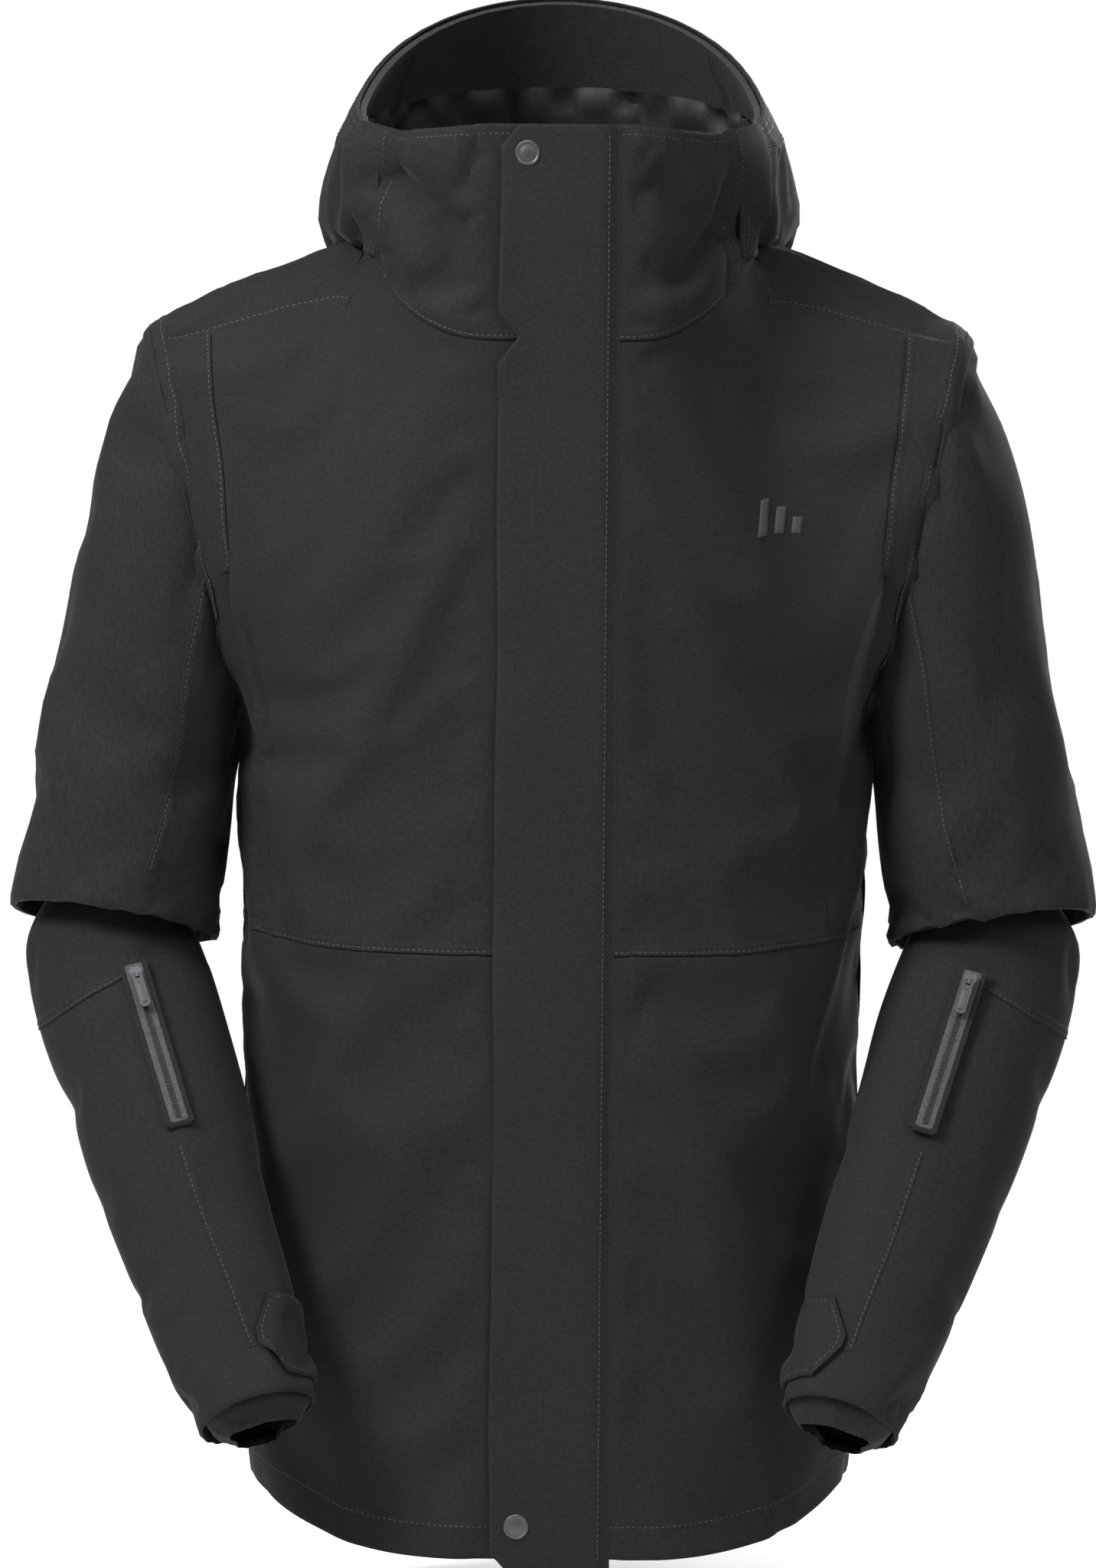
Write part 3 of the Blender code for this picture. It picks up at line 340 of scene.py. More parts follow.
def hood(f, t):
    """Hood surface: f runs from -1 to 1 round the back, t from the neck seam (0) to the rim (1)."""
    f, t = np.broadcast_arrays(np.asarray(f, float), np.asarray(t, float))
    turn = f * HOOD_ARC
    back, side = smooth(HOOD_BACK, t), smooth(HOOD_SIDE, t)
    edge = points(HOOD_EDGE_RADIUS, HOOD_EDGE_Z[0] + (HOOD_EDGE_Z[1] - HOOD_EDGE_Z[0]) * t, 0)[..., :2]
    to_back = (np.cos(np.clip(np.abs(turn), 0, math.pi / 2)) ** 2)[..., None]
    past = np.clip((np.abs(turn) - math.radians(80)) / (HOOD_ARC - math.radians(80)), 0, 1)
    to_edge = (past * past * (3 - 2 * past))[..., None]
    rz = (back * to_back + side * (1 - to_back)) * (1 - to_edge) + edge * to_edge
    return points(rz[..., 0] * np.sin(turn), SIDE_Y + rz[..., 0] * np.cos(turn), rz[..., 1])


def upper_sleeve(turn, t):
    """Upper sleeve surface, turn round it and t from the armhole to its hem."""
    keys = smooth(UPPER_SLEEVE, t)
    xi, zi, xo, zo, y, depth, slant = (keys[..., k] for k in range(7))
    centre = points((xi + xo) / 2, y, (zi + zo) / 2)
    across = points((xo - xi) / 2, 0.0, (zo - zi) / 2)
    fore = points(0.0, -depth, slant)
    return centre + across * np.cos(turn)[..., None] + fore * np.sin(turn)[..., None]


DOWN = unit(CUFF - ELBOW)
ACROSS = unit(np.array((-DOWN[2], 0.0, DOWN[0])))
FORE = -np.cross(ACROSS, DOWN) * np.sign(np.cross(ACROSS, DOWN)[1])
FOREARM_LENGTH = float(np.linalg.norm(CUFF - ELBOW))


def forearm(turn, s):
    """Forearm surface: s is 0 at the elbow and 1 at the cuff, and below 0 on the rounded elbow."""
    turn, s = np.broadcast_arrays(np.asarray(turn, float), np.asarray(s, float))
    radii = smooth(FOREARM_RADII, np.clip(s, 0, 1))
    lift = np.clip(-s * FOREARM_LENGTH / ELBOW_DOME_DEPTH, 0, 0.99)
    shrink = np.sqrt(1 - lift ** 2)
    ra, rf = radii[..., 0] * shrink, radii[..., 1] * shrink
    centre = ELBOW + DOWN * (s * FOREARM_LENGTH)[..., None]
    return centre + ACROSS * (ra * np.cos(turn))[..., None] + FORE * (rf * np.sin(turn))[..., None]


# ---- draped surfaces ------------------------------------------------------------------------------
def catmull(x):
    """The four Catmull-Rom weights at a fraction between two samples."""
    return [((2 - x) * x - 1) * x / 2, ((3 * x - 5) * x * x + 2) / 2,
            ((4 - 3 * x) * x + 1) * x / 2, (x - 1) * x * x / 2]


class Skin:
    """A surface, its limits, and the drape laid over it by a cloth run."""

    def __init__(self, shape, u_limits, v_limits, side=1, sign=1, wrap=False):
        self.shape, self.u_limits, self.v_limits = shape, u_limits, v_limits
        self.mirror = mirrored(side)
        self.sign = sign * side
        self.wrap = wrap
        self.field = None
        self.folds = []

    def base(self, u, v):
        """The surface before its drape."""
        return self.shape(u, v) * self.mirror

    def draped(self, u, v):
        """The settled surface at any place, read smoothly from its grid."""
        (u0, u1), (v0, v1) = self.u_limits, self.v_limits
        nu, nv = self.field.shape[:2]
        x = (u - u0) / (u1 - u0) * (nu if self.wrap else nu - 3)
        y = np.clip((v - v0) / (v1 - v0), 0, 1) * (nv - 3)
        if not self.wrap:
            x = np.clip(x, 0, nu - 3)
        i, j = np.floor(x).astype(int), np.minimum(np.floor(y).astype(int), nv - 4)
        if not self.wrap:
            i = np.minimum(i, nu - 4)
        wx, wy = catmull(x - i), catmull(y - j)
        total = 0
        for a in range(4):
            ia = (i + a - 1) % nu if self.wrap else i + a
            for b in range(4):
                total = total + (wx[a] * wy[b])[..., None] * self.field[ia, j + b]
        return total

    def point(self, u, v):
        """The draped surface."""
        u, v = np.broadcast_arrays(np.asarray(u, float), np.asarray(v, float))
        return self.base(u, v) if self.field is None else self.draped(u, v)

    def slopes(self, u, v):
        """How the draped surface moves with u and with v."""
        step = 2e-3
        (u0, u1), (v0, v1) = self.u_limits, self.v_limits
        ua, ub = (u - step, u + step) if self.wrap else (np.maximum(u - step, u0), np.minimum(u + step, u1))
        va, vb = np.maximum(v - step, v0), np.minimum(v + step, v1)
        du = (self.point(ub, v) - self.point(ua, v)) / np.maximum(ub - ua, 1e-9)[..., None]
        dv = (self.point(u, vb) - self.point(u, va)) / np.maximum(vb - va, 1e-9)[..., None]
        return du, dv

    def normal(self, u, v):
        """Outward unit normals of the draped surface."""
        u, v = np.broadcast_arrays(np.asarray(u, float), np.asarray(v, float))
        du, dv = self.slopes(u, v)
        return unit(np.cross(du, dv)) * self.sign

    def at(self, u, v, height):
        """Points at a height over the draped surface."""
        return self.point(u, v) + self.normal(u, v) * np.asarray(height)[..., None]

    def beside(self, u, v, offset):
        """The place a distance to the left of a path on the surface, seen from outside, going along it."""
        pts = self.point(u, v)
        along = unit(np.gradient(pts, axis=0))
        du, dv = self.slopes(u, v)
        aside = np.cross(unit(np.cross(du, dv)) * self.sign, along)
        g11, g12, g22 = (du * du).sum(-1), (du * dv).sum(-1), (dv * dv).sum(-1)
        r1, r2 = (aside * du).sum(-1), (aside * dv).sum(-1)
        det = np.maximum(g11 * g22 - g12 * g12, 1e-12)
        new_u = u + (g22 * r1 - g12 * r2) / det * offset
        new_v = v + (g11 * r2 - g12 * r1) / det * offset
        if not self.wrap:
            new_u = np.clip(new_u, *self.u_limits)
        return new_u, np.clip(new_v, *self.v_limits)


def ripples(pts, seed, size, spread):
    """Small smooth bumps, of wavelengths within a spread, that start the folds of a cloth run."""
    rng = np.random.default_rng(seed)
    total = np.zeros(pts.shape[:-1])
    for _ in range(14):
        way = unit(rng.normal(size=3)) * 2 * math.pi / rng.uniform(*spread)
        total += np.sin(pts @ way + rng.uniform(0, 6.3)) * rng.uniform(0.3, 1)
    return total * size / 4


def fold_heights(skin, pts, folds):
    """Soft ridges and hollows along lines between two places of a skin."""
    total = np.zeros(pts.shape[:-1])
    for (ua, va), (ub, vb), height, width in folds:
        a, b = skin.base(np.array(ua), np.array(va)), skin.base(np.array(ub), np.array(vb))
        d = b - a
        t = ((pts - a) @ d) / (d @ d)
        off = np.linalg.norm(pts - (a + np.clip(t, 0, 1)[..., None] * d), axis=-1)
        total += height * bump(off, width) * ease(t * 3 + 0.6) * ease((1 - t) * 3 + 0.6)
    return total


def grid_faces(nu, nv, wrap=False):
    """The quads of a grid."""
    i, j = np.meshgrid(np.arange(nu if wrap else nu - 1), np.arange(nv - 1), indexing="ij")
    a, b = i * nv + j, ((i + 1) % nu) * nv + j
    return np.stack([a, b, b + 1, a + 1], axis=-1).reshape(-1, 4)


def run_cloth(pts, pins, wrap, grow, bending, fall):
    """Lets a grid of cloth settle, and returns where it ends up."""
    nu, nv = pts.shape[:2]
    mesh = bpy.data.meshes.new("cloth_run")
    mesh.from_pydata(pts.reshape(-1, 3).tolist(), [], grid_faces(nu, nv, wrap).tolist())
    obj = bpy.data.objects.new("cloth_run", mesh)
    bpy.context.scene.collection.objects.link(obj)
    group = obj.vertex_groups.new(name="held")
    flat = np.round(np.clip(pins, 0, 1).reshape(-1), 3)
    for weight in np.unique(flat):
        if weight > 0:
            group.add(np.nonzero(flat == weight)[0].tolist(), float(weight), "REPLACE")
    cloth = obj.modifiers.new("cloth", "CLOTH")
    settings = cloth.settings
    settings.quality = 5
    settings.mass = 0.25
    settings.air_damping = 3
    settings.tension_stiffness = 25
    settings.compression_stiffness = 25
    settings.shear_stiffness = 12
    settings.bending_stiffness = bending
    settings.vertex_group_mass = "held"
    settings.pin_stiffness = 1.0
    settings.shrink_min = -grow
    settings.effector_weights.gravity = fall
    cloth.collision_settings.use_collision = False
    cloth.collision_settings.use_self_collision = False
    cloth.point_cache.frame_start = 1
    cloth.point_cache.frame_end = CLOTH_FRAMES
    scene = bpy.context.scene
    for number in range(1, CLOTH_FRAMES + 1):
        scene.frame_set(number)
    result = obj.evaluated_get(bpy.context.evaluated_depsgraph_get()).to_mesh()
    out = np.empty(nu * nv * 3)
    result.vertices.foreach_get("co", out)
    bpy.data.objects.remove(obj)
    bpy.data.meshes.remove(mesh)
    scene.frame_set(1)
    return out.reshape(nu, nv, 3)


def padded_grid(grid, wrap):
    """The grid with one more straight step past each open border."""
    grid = np.concatenate([2 * grid[:, :1] - grid[:, 1:2], grid, 2 * grid[:, -1:] - grid[:, -2:-1]], axis=1)
    if wrap:
        return grid
    return np.concatenate([2 * grid[:1] - grid[1:2], grid, 2 * grid[-1:] - grid[-2:-1]], axis=0)


def relaxed(grid, held, wrap, rounds):
    """The grid with its hard creases eased out, kept in place where it is held."""
    free = np.where(held > 0.95, 0.0, 0.5)[..., None]
    free[:, 0] = free[:, -1] = 0.0
    for _ in range(rounds):
        before, after = (grid[-1:], grid[:1]) if wrap else (grid[:1], grid[-1:])
        wide = np.concatenate([before, grid, after])
        tall = np.concatenate([grid[:, :1], grid, grid[:, -1:]], axis=1)
        mean = (wide[:-2] + wide[2:] + tall[:, :-2] + tall[:, 2:]) / 4
        grid = grid + (mean - grid) * free
    return grid


def settle(skin, cells, pins, grow, bending, fall, seed, cap, start, folds=(), rounds=0, spread=(0.04, 0.16)):
    """Drapes a skin: a cloth run over its grid, held where it is sewn, with its drape kept within cap.

    The grid is first eased for some rounds, then bumped by ripples up to start high and by the folds.
    """
    (u0, u1), (v0, v1) = skin.u_limits, skin.v_limits
    u_line = np.linspace(u0, u1, cells[0] + 1)[:cells[0] + (0 if skin.wrap else 1)]
    u, v = np.meshgrid(u_line, np.linspace(v0, v1, cells[1] + 1), indexing="ij")
    held = pins(u, v)
    rest = relaxed(skin.base(u, v), held, skin.wrap, rounds)
    lift = ripples(rest, seed, start, spread) * (1 - held) + fold_heights(skin, rest, folds)
    begin = rest + skin.normal(u, v) * lift[..., None]
    end = run_cloth(begin, held, skin.wrap, grow, bending, fall)
    drape = end - rest
    size = np.linalg.norm(drape, axis=-1, keepdims=True)
    drape *= np.tanh(size / cap) * cap / np.maximum(size, 1e-9)
    skin.field = padded_grid(rest + drape, skin.wrap)
    return skin


# ---- finishes -------------------------------------------------------------------------------------
class Finish:
    """A procedural material, built node by node."""

    def __init__(self, name):
        self.material = bpy.data.materials.new(name)
        self.material.use_nodes = True
        self.tree = self.material.node_tree
        self.shader = self.tree.nodes["Principled BSDF"]

    def node(self, kind, **values):
        """A node, with its properties and unlinked inputs set."""
        made = self.tree.nodes.new(kind)
        for key, value in values.items():
            if isinstance(value, bpy.types.NodeSocket):
                self.tree.links.new(value, made.inputs[key])
            elif key in made.inputs:
                made.inputs[key].default_value = value
            else:
                setattr(made, key, value)
        return made

    def link(self, out, name):
        """Feeds one of the shader's inputs."""
        self.tree.links.new(out, self.shader.inputs[name])

    def maths(self, operation, a, b=0.0):
        """The result of a sum on two values or sockets."""
        made = self.tree.nodes.new("ShaderNodeMath")
        made.operation = operation
        for place, value in enumerate((a, b)):
            if isinstance(value, bpy.types.NodeSocket):
                self.tree.links.new(value, made.inputs[place])
            else:
                made.inputs[place].default_value = value
        return made.outputs[0]

    def noise(self, where, scale, detail=3.0, roughness=0.55):
        """A noise value around one half."""
        made = self.node("ShaderNodeTexNoise", Scale=scale, Detail=detail, Roughness=roughness)
        self.tree.links.new(where, made.inputs["Vector"])
        return made.outputs["Fac"]

    def colour(self, colour, tone, smoothest=None, uneven=None):
        """A base colour scaled by a tone, and a roughness that varies with a noise."""
        shade = self.node("ShaderNodeHueSaturation", Color=(*colour, 1.0), Value=tone)
        self.link(shade.outputs["Color"], "Base Color")
        if uneven is not None:
            self.link(self.maths("ADD", smoothest, self.maths("MULTIPLY", uneven, 0.12)), "Roughness")


def waves(finish, socket, pitch):
    """Threads along one direction: a sine of that pitch in metres."""
    return finish.maths("SINE", finish.maths("MULTIPLY", socket, 2 * math.pi / pitch))


def cloth_finish(name, colour, rough=0.88, sheen=0.04, pitch=0.0011, weave=0.35, crumple=0.0005, gloss=0.08,
                 blotch=0.16):
    """Woven cloth: threads across and along, uneven dye, and a slightly crumpled face."""
    f = Finish(name)
    uv = f.node("ShaderNodeUVMap", uv_map="UVMap").outputs["UV"]
    place = f.node("ShaderNodeTexCoord").outputs["Object"]
    split = f.node("ShaderNodeSeparateXYZ", Vector=uv)
    across, along = waves(f, split.outputs["X"], pitch), waves(f, split.outputs["Y"], pitch)
    threads = f.maths("MULTIPLY", across, along)
    broad, fine, grain = f.noise(place, 7.0), f.noise(place, 90.0), f.noise(uv, 1500.0, 2.0)
    slub = f.noise(uv, 420.0, 2.0)
    tone = 1.0
    for pattern, amount in ((broad, blotch), (fine, 0.16), (grain, 1.30), (slub, 1.10)):
        tone = f.maths("ADD", f.maths("MULTIPLY", f.maths("SUBTRACT", pattern, 0.5), amount), tone)
    tone = f.maths("ADD", tone, f.maths("MULTIPLY", threads, 0.16))
    f.colour(colour, tone, rough - 0.06, fine)
    f.shader.inputs["Specular IOR Level"].default_value = gloss
    f.shader.inputs["Sheen Weight"].default_value = sheen
    f.shader.inputs["Sheen Roughness"].default_value = 0.27
    soft = f.maths("MULTIPLY", f.noise(place, 26.0, 4.0), crumple)
    height = f.maths("ADD", soft, f.maths("MULTIPLY", threads, pitch * 0.03 * weave))
    height = f.maths("ADD", height, f.maths("MULTIPLY", grain, pitch * 0.08 * weave))
    bump = f.node("ShaderNodeBump", Strength=1.0, Distance=1.0, Height=height)
    f.link(bump.outputs["Normal"], "Normal")
    return f.material


def hard_finish(name, colour, rough, metallic=0.0, wear=0.25):
    """Metal or moulded plastic with fine scratches and slightly uneven polish."""
    f = Finish(name)
    place = f.node("ShaderNodeTexCoord").outputs["Object"]
    broad, fine = f.noise(place, 120.0), f.noise(place, 1400.0, 2.0)
    tone = f.maths("ADD", 1.0 - wear / 2, f.maths("MULTIPLY", broad, wear))
    f.colour(colour, tone, rough - 0.05, fine)
    f.shader.inputs["Metallic"].default_value = metallic
    bump = f.node("ShaderNodeBump", Strength=0.25, Distance=0.0002, Height=fine)
    f.link(bump.outputs["Normal"], "Normal")
    return f.material


FABRIC = cloth_finish("shell_cloth", (0.0105, 0.0106, 0.0109))
FLAP_FABRIC = cloth_finish("flap_cloth", (0.0112, 0.0113, 0.0116), crumple=0.0004)
FACING_FABRIC = cloth_finish("facing_cloth", (0.0200, 0.0202, 0.0208))
LINING = cloth_finish("lining_nylon", (0.0105, 0.0107, 0.0115), rough=0.62, sheen=0.02, pitch=0.0006,
                      weave=0.2, crumple=0.0012, gloss=0.22)
GAITER = cloth_finish("gaiter_knit", (0.012, 0.012, 0.0125), pitch=0.0016, weave=1.2)
TAPE = cloth_finish("zip_tape_weave", (0.045, 0.045, 0.047), pitch=0.0012, weave=1.0, crumple=0.0001)
WEBBING = cloth_finish("webbing_weave", (0.012, 0.012, 0.0125), pitch=0.0014, weave=1.4, crumple=0.0001)
# Near-black sheet for the hand pocket's opening: painted shade standing in for the shadow in that narrow gap.
POCKET_PAINTED_SHADE = cloth_finish("pocket_gap_painted_shade", (0.0012, 0.0012, 0.0013), gloss=0.02)
THREAD = hard_finish("sewing_thread", (0.0078, 0.0078, 0.0081), 0.62)
COIL = hard_finish("zip_coil_nylon", (0.024, 0.024, 0.026), 0.38)
RUBBER = hard_finish("moulded_rubber", (0.018, 0.018, 0.019), 0.55)
METAL = hard_finish("gunmetal", (0.075, 0.077, 0.081), 0.46, 1.0)
BRIGHT_METAL = hard_finish("puller_metal", (0.055, 0.056, 0.058), 0.50, 1.0)


# ---- meshes ---------------------------------------------------------------------------------------
def add_mesh(name, verts, faces, uvs, finish, angle=50):
    """A mesh object with its own UV map in metres."""
    mesh = bpy.data.meshes.new(name)
    mesh.from_pydata(np.asarray(verts, float).tolist(), [], [list(map(int, f)) for f in faces])
    layer = mesh.uv_layers.new(name="UVMap")
    corners = np.empty(len(mesh.loops), np.int32)
    mesh.loops.foreach_get("vertex_index", corners)
    layer.data.foreach_set("uv", np.asarray(uvs, np.float32)[corners].reshape(-1))
    mesh.shade_smooth()
    mesh.set_sharp_from_angle(angle=math.radians(angle))
    mesh.materials.append(finish)
    obj = bpy.data.objects.new(name, mesh)
    bpy.context.scene.collection.objects.link(obj)
    return obj


def spaced(length, cell, ends=True):
    """Positions from 0 to 1 along a length, closer together at its ends."""
    if not ends:
        return np.linspace(0, 1, max(2, round(length / cell)) + 1)
    near = np.array((0.0, 0.0006, 0.0014))
    middle = np.linspace(0.003, length - 0.003, max(2, round(length / cell)))
    return np.concatenate([near, middle, length - near[::-1]]) / length


def edge_drop(a, b, size, free):
    """How far a panel's face rolls down towards its edges."""
    gaps = [a * size[0], (1 - a) * size[0], b * size[1], (1 - b) * size[1]]
    total = np.zeros(np.broadcast_shapes(a.shape, b.shape))
    for gap, use in zip(gaps, free):
        if use:
            total = np.maximum(total, ROLL * bump(gap, ROLL_REACH))
    return total


def shell_mesh(name, outer, inner, uv, finish, wrap=False):
    """A closed sheet between two grids of points."""
    nu, nv = outer.shape[:2]
    shift = nu * nv
    top = grid_faces(nu, nv, wrap)
    faces = [top, top[:, ::-1] + shift]
    last = nu if wrap else nu - 1
    i = np.arange(last)
    for j, flip in ((0, False), (nv - 1, True)):
        a, b = i * nv + j, ((i + 1) % nu) * nv + j
        rim = np.stack([a, a + shift, b + shift, b], axis=-1)
        faces.append(rim[:, ::-1] if flip else rim)
    if not wrap:
        j = np.arange(nv - 1)
        for i, flip in ((0, True), (nu - 1, False)):
            a = i * nv + j
            rim = np.stack([a, a + shift, a + 1 + shift, a + 1], axis=-1)
            faces.append(rim[:, ::-1] if flip else rim)
    faces = np.concatenate(faces)
    verts = np.concatenate([outer.reshape(-1, 3), inner.reshape(-1, 3)])
    uvs = np.concatenate([uv.reshape(-1, 2)] * 2)
    a, b, c = (outer[k] for k in ((0, 0), (1, 0), (0, 1)))
    if np.dot(np.cross(b - a, c - a), outer[0, 0] - inner[0, 0]) < 0:
        faces = faces[:, ::-1]
    return add_mesh(name, verts, faces, uvs, finish)


def edge_of(edge, t):
    """An edge given as a number or as a function."""
    return edge(t) if callable(edge) else np.full_like(t, edge)


def lengths(skin, u_edges, v_edges):
    """Rough width and height of a patch."""
    t = np.linspace(0, 1, 9)
    mid = np.full_like(t, 0.5)
    v0, v1 = edge_of(v_edges[0], mid), edge_of(v_edges[1], mid)
    v = v0 * (1 - t) + v1 * t
    u = (edge_of(u_edges[0], v) + edge_of(u_edges[1], v)) / 2
    tall = np.linalg.norm(np.diff(skin.base(u, v), axis=0), axis=-1).sum()
    v = (v0 + v1) / 2
    u = edge_of(u_edges[0], v) * (1 - t) + edge_of(u_edges[1], v) * t
    wide = np.linalg.norm(np.diff(skin.base(u, v), axis=0), axis=-1).sum()
    return wide, tall


def panel(name, skin, u_edges, v_edges, depths, finish, cell=PANEL_CELL, free=(1, 1, 1, 1), bulge=None):
    """A sewn panel: a patch of a skin, between two depths along the outward normal."""
    size = lengths(skin, u_edges, v_edges)
    a, b = np.meshgrid(spaced(size[0], cell, not skin.wrap), spaced(size[1], cell), indexing="ij")
    if skin.wrap:
        a, b = a[:-1], b[:-1]
    v = edge_of(v_edges[0], a) * (1 - b) + edge_of(v_edges[1], a) * b
    u = edge_of(u_edges[0], v) * (1 - a) + edge_of(u_edges[1], v) * a
    base, out = skin.point(u, v), skin.normal(u, v)
    high = depths[1] - edge_drop(a, b, size, (0, 0, free[2], free[3]) if skin.wrap else free)
    if bulge is not None:
        high = high + bulge(u, v)
    outer, inner = base + out * high[..., None], base + out * depths[0]
    uv = np.stack([a * size[0], b * size[1]], axis=-1)
    return shell_mesh(name, outer, inner, uv, finish, skin.wrap)


class Strips:
    """Seam strips and stitches of one body, gathered into one mesh each."""

    def __init__(self):
        self.seams, self.stitches = [], []

    def seam(self, skin, u, v, depth=SHELL, side=1, profile=None, rows=(-0.0019,)):
        """A lapped seam along a path, or none, with rows of stitches at distances beside it."""
        u, v = resample(skin, *np.broadcast_arrays(u, v))
        if profile:
            rings = []
            for offset, height in profile:
                su, sv = skin.beside(u, v, offset * side)
                rings.append(skin.at(su, sv, depth + height))
            self.seams.append(np.stack(rings))
        for offset in rows:
            su, sv = skin.beside(u, v, offset * side)
            over = depth + (0.0002 if profile else 0.00005)
            self.row_of(skin.at(su, sv, over), skin.normal(su, sv))

    def row_of(self, pts, out, stitch=STITCH):
        """Stitches on a line of points with their outward directions."""
        pitch, length, width, rise = stitch
        run = run_along(pts)
        places = np.arange(pitch, run[-1] - pitch / 2, pitch)
        if len(places) == 0:
            return

        def on_line(where, values):
            return np.stack([np.interp(where, run, values[:, k]) for k in range(3)], axis=-1)

        centre, ahead = on_line(places, pts), on_line(places + 0.0005, pts)
        up = unit(on_line(places, out))
        along = unit(ahead - centre)
        aside = np.cross(up, along)
        parts = []
        for s, w, h in ((-1, 0.35, -0.3), (-0.5, 1, 0.8), (0.5, 1, 0.8), (1, 0.35, -0.3)):
            for q, drop in ((-1, -0.4), (0, 1.0), (1, -0.4)):
                level = rise * (h if q == 0 else h * 0.2 + drop * 0.5)
                parts.append(centre + along * s * length / 2 + aside * q * w * width / 2 + up * level)
        self.stitches.append(np.stack(parts, axis=1))

    def finish(self, name, cloth):
        """The gathered seams and stitches as objects."""
        made = []
        if self.seams:
            verts, faces, uvs, count = [], [], [], 0
            for rings in self.seams:
                n, m = rings.shape[:2]
                pts = rings.transpose(1, 0, 2).reshape(-1, 3)
                run = np.arange(m) * SEAM_STEP
                verts.append(pts)
                uv = np.stack(np.meshgrid(run, np.arange(n) * LAP_UV, indexing="ij"), -1)
                uvs.append(uv.reshape(-1, 2))
                faces.append(grid_faces(m, n) + count)
                count += len(pts)
            made.append(add_mesh(f"{name}_seams", np.concatenate(verts), np.concatenate(faces),
                                 np.concatenate(uvs), cloth, 75))
        if self.stitches:
            blocks = np.concatenate(self.stitches)
            one = np.array([(3 * r + c, 3 * r + c + 1, 3 * r + c + 4, 3 * r + c + 3)
                            for r in range(3) for c in range(2)])
            faces = (one[None] + np.arange(len(blocks))[:, None, None] * 12).reshape(-1, 4)
            verts = blocks.reshape(-1, 3)
            made.append(add_mesh(f"{name}_stitches", verts, faces, verts[:, :2], THREAD, 180))
        return made


LAP = [(-0.0074, -0.0006), (-0.0064, -0.0001), (-0.0052, 0.0003), (-0.0030, 0.0005), (-0.0024, 0.00028),
       (-0.0019, 0.0002), (-0.0014, 0.00028), (-0.0009, 0.0006), (-0.0003, 0.0007), (0.0001, 0.0003),
       (0.0002, -0.0006)]
LOW_LAP = [(x, y * 0.75) for x, y in LAP]


def rounded_off(line, width=9):
    """A run of values with its corners averaged away and its ends kept."""
    padded = np.concatenate([np.full(width, line[0]), line, np.full(width, line[-1])])
    box = np.ones(2 * width + 1) / (2 * width + 1)
    return np.concatenate([line[:1], np.convolve(padded, box, "valid")[1:-1], line[-1:]])


def resample(skin, u, v):
    """A path on a skin with evenly spaced places."""
    fine = np.linspace(0, 1, 400)
    key = np.linspace(0, 1, len(u))
    uu, vv = np.interp(fine, key, u), np.interp(fine, key, v)
    uu, vv = rounded_off(rounded_off(uu)), rounded_off(rounded_off(vv))
    pts = skin.base(uu, vv)
    run = run_along(pts)
    places = np.linspace(0, run[-1], max(3, int(run[-1] / SEAM_STEP)))
    return np.interp(places, run, uu), np.interp(places, run, vv)


# ---- drapes ---------------------------------------------------------------------------------------
def side_seam(v):
    """Where the chest panel meets the side panel."""
    return smooth(SIDE_SEAM_U, v)


def top_of_chest(u):
    """Upper edge of the chest panel: the neck seam, then the yoke seam."""
    return 2 - (2 - YOKE_V) * ease((u - 0.545) / 0.06)


FRONT_FOLDS = {
    "L": [((0.90, 1.52), (0.80, 1.05), 0.0045, 0.016), ((0.97, 1.25), (0.90, 0.98), -0.0045, 0.014),
          ((0.80, 1.30), (0.70, 0.92), -0.0030, 0.022), ((0.40, 1.90), (0.62, 1.72), 0.0025, 0.020),
          ((0.95, 0.95), (0.70, 0.72), 0.0030, 0.020), ((0.92, 0.70), (0.60, 0.40), -0.0035, 0.030),
          ((0.30, 0.60), (0.40, 0.15), 0.0030, 0.040), ((0.75, 0.35), (0.90, 0.05), 0.0035, 0.022)],
    "R": [((0.90, 1.50), (0.82, 1.02), 0.0050, 0.015), ((0.97, 1.20), (0.88, 0.95), -0.0050, 0.015),
          ((0.78, 1.28), (0.66, 0.95), -0.0025, 0.024), ((0.45, 1.88), (0.60, 1.70), 0.0020, 0.022),
          ((0.97, 0.90), (0.74, 0.66), 0.0035, 0.018), ((0.85, 0.66), (0.55, 0.36), -0.0030, 0.032),
          ((0.35, 0.55), (0.32, 0.12), 0.0025, 0.040), ((0.70, 0.30), (0.88, 0.02), 0.0030, 0.024)],
}
SLEEVE_FOLDS = {
    "L": [((2.4, 0.10), (1.4, 0.55), 0.0045, 0.018), ((2.8, 0.35), (1.9, 0.72), -0.0050, 0.016),
          ((0.9, 0.70), (2.3, 0.93), 0.0040, 0.014), ((0.3, 0.86), (1.4, 0.98), -0.0040, 0.012)],
    "R": [((2.3, 0.12), (1.5, 0.60), 0.0040, 0.018), ((2.9, 0.30), (2.0, 0.70), -0.0050, 0.018),
          ((0.7, 0.74), (2.1, 0.90), 0.0040, 0.014), ((0.2, 0.84), (1.2, 0.97), -0.0045, 0.012)],
}
FOREARM_FOLDS = {
    "L": [((-0.5, 0.30), (0.6, 0.22), -0.0040, 0.011), ((-0.5, 0.52), (0.5, 0.47), -0.0035, 0.011),
          ((-0.4, 0.74), (0.6, 0.68), -0.0030, 0.010), ((2.2, 0.55), (3.2, 0.45), -0.0030, 0.012),
          ((2.0, 0.78), (1.0, 0.70), 0.0025, 0.012)],
    "R": [((-0.5, 0.26), (0.6, 0.30), -0.0040, 0.011), ((-0.5, 0.46), (0.5, 0.52), -0.0040, 0.011),
          ((-0.4, 0.68), (0.6, 0.72), -0.0030, 0.010), ((2.3, 0.60), (3.2, 0.50), -0.0030, 0.012),
          ((1.9, 0.80), (0.9, 0.76), 0.0025, 0.012)],
}
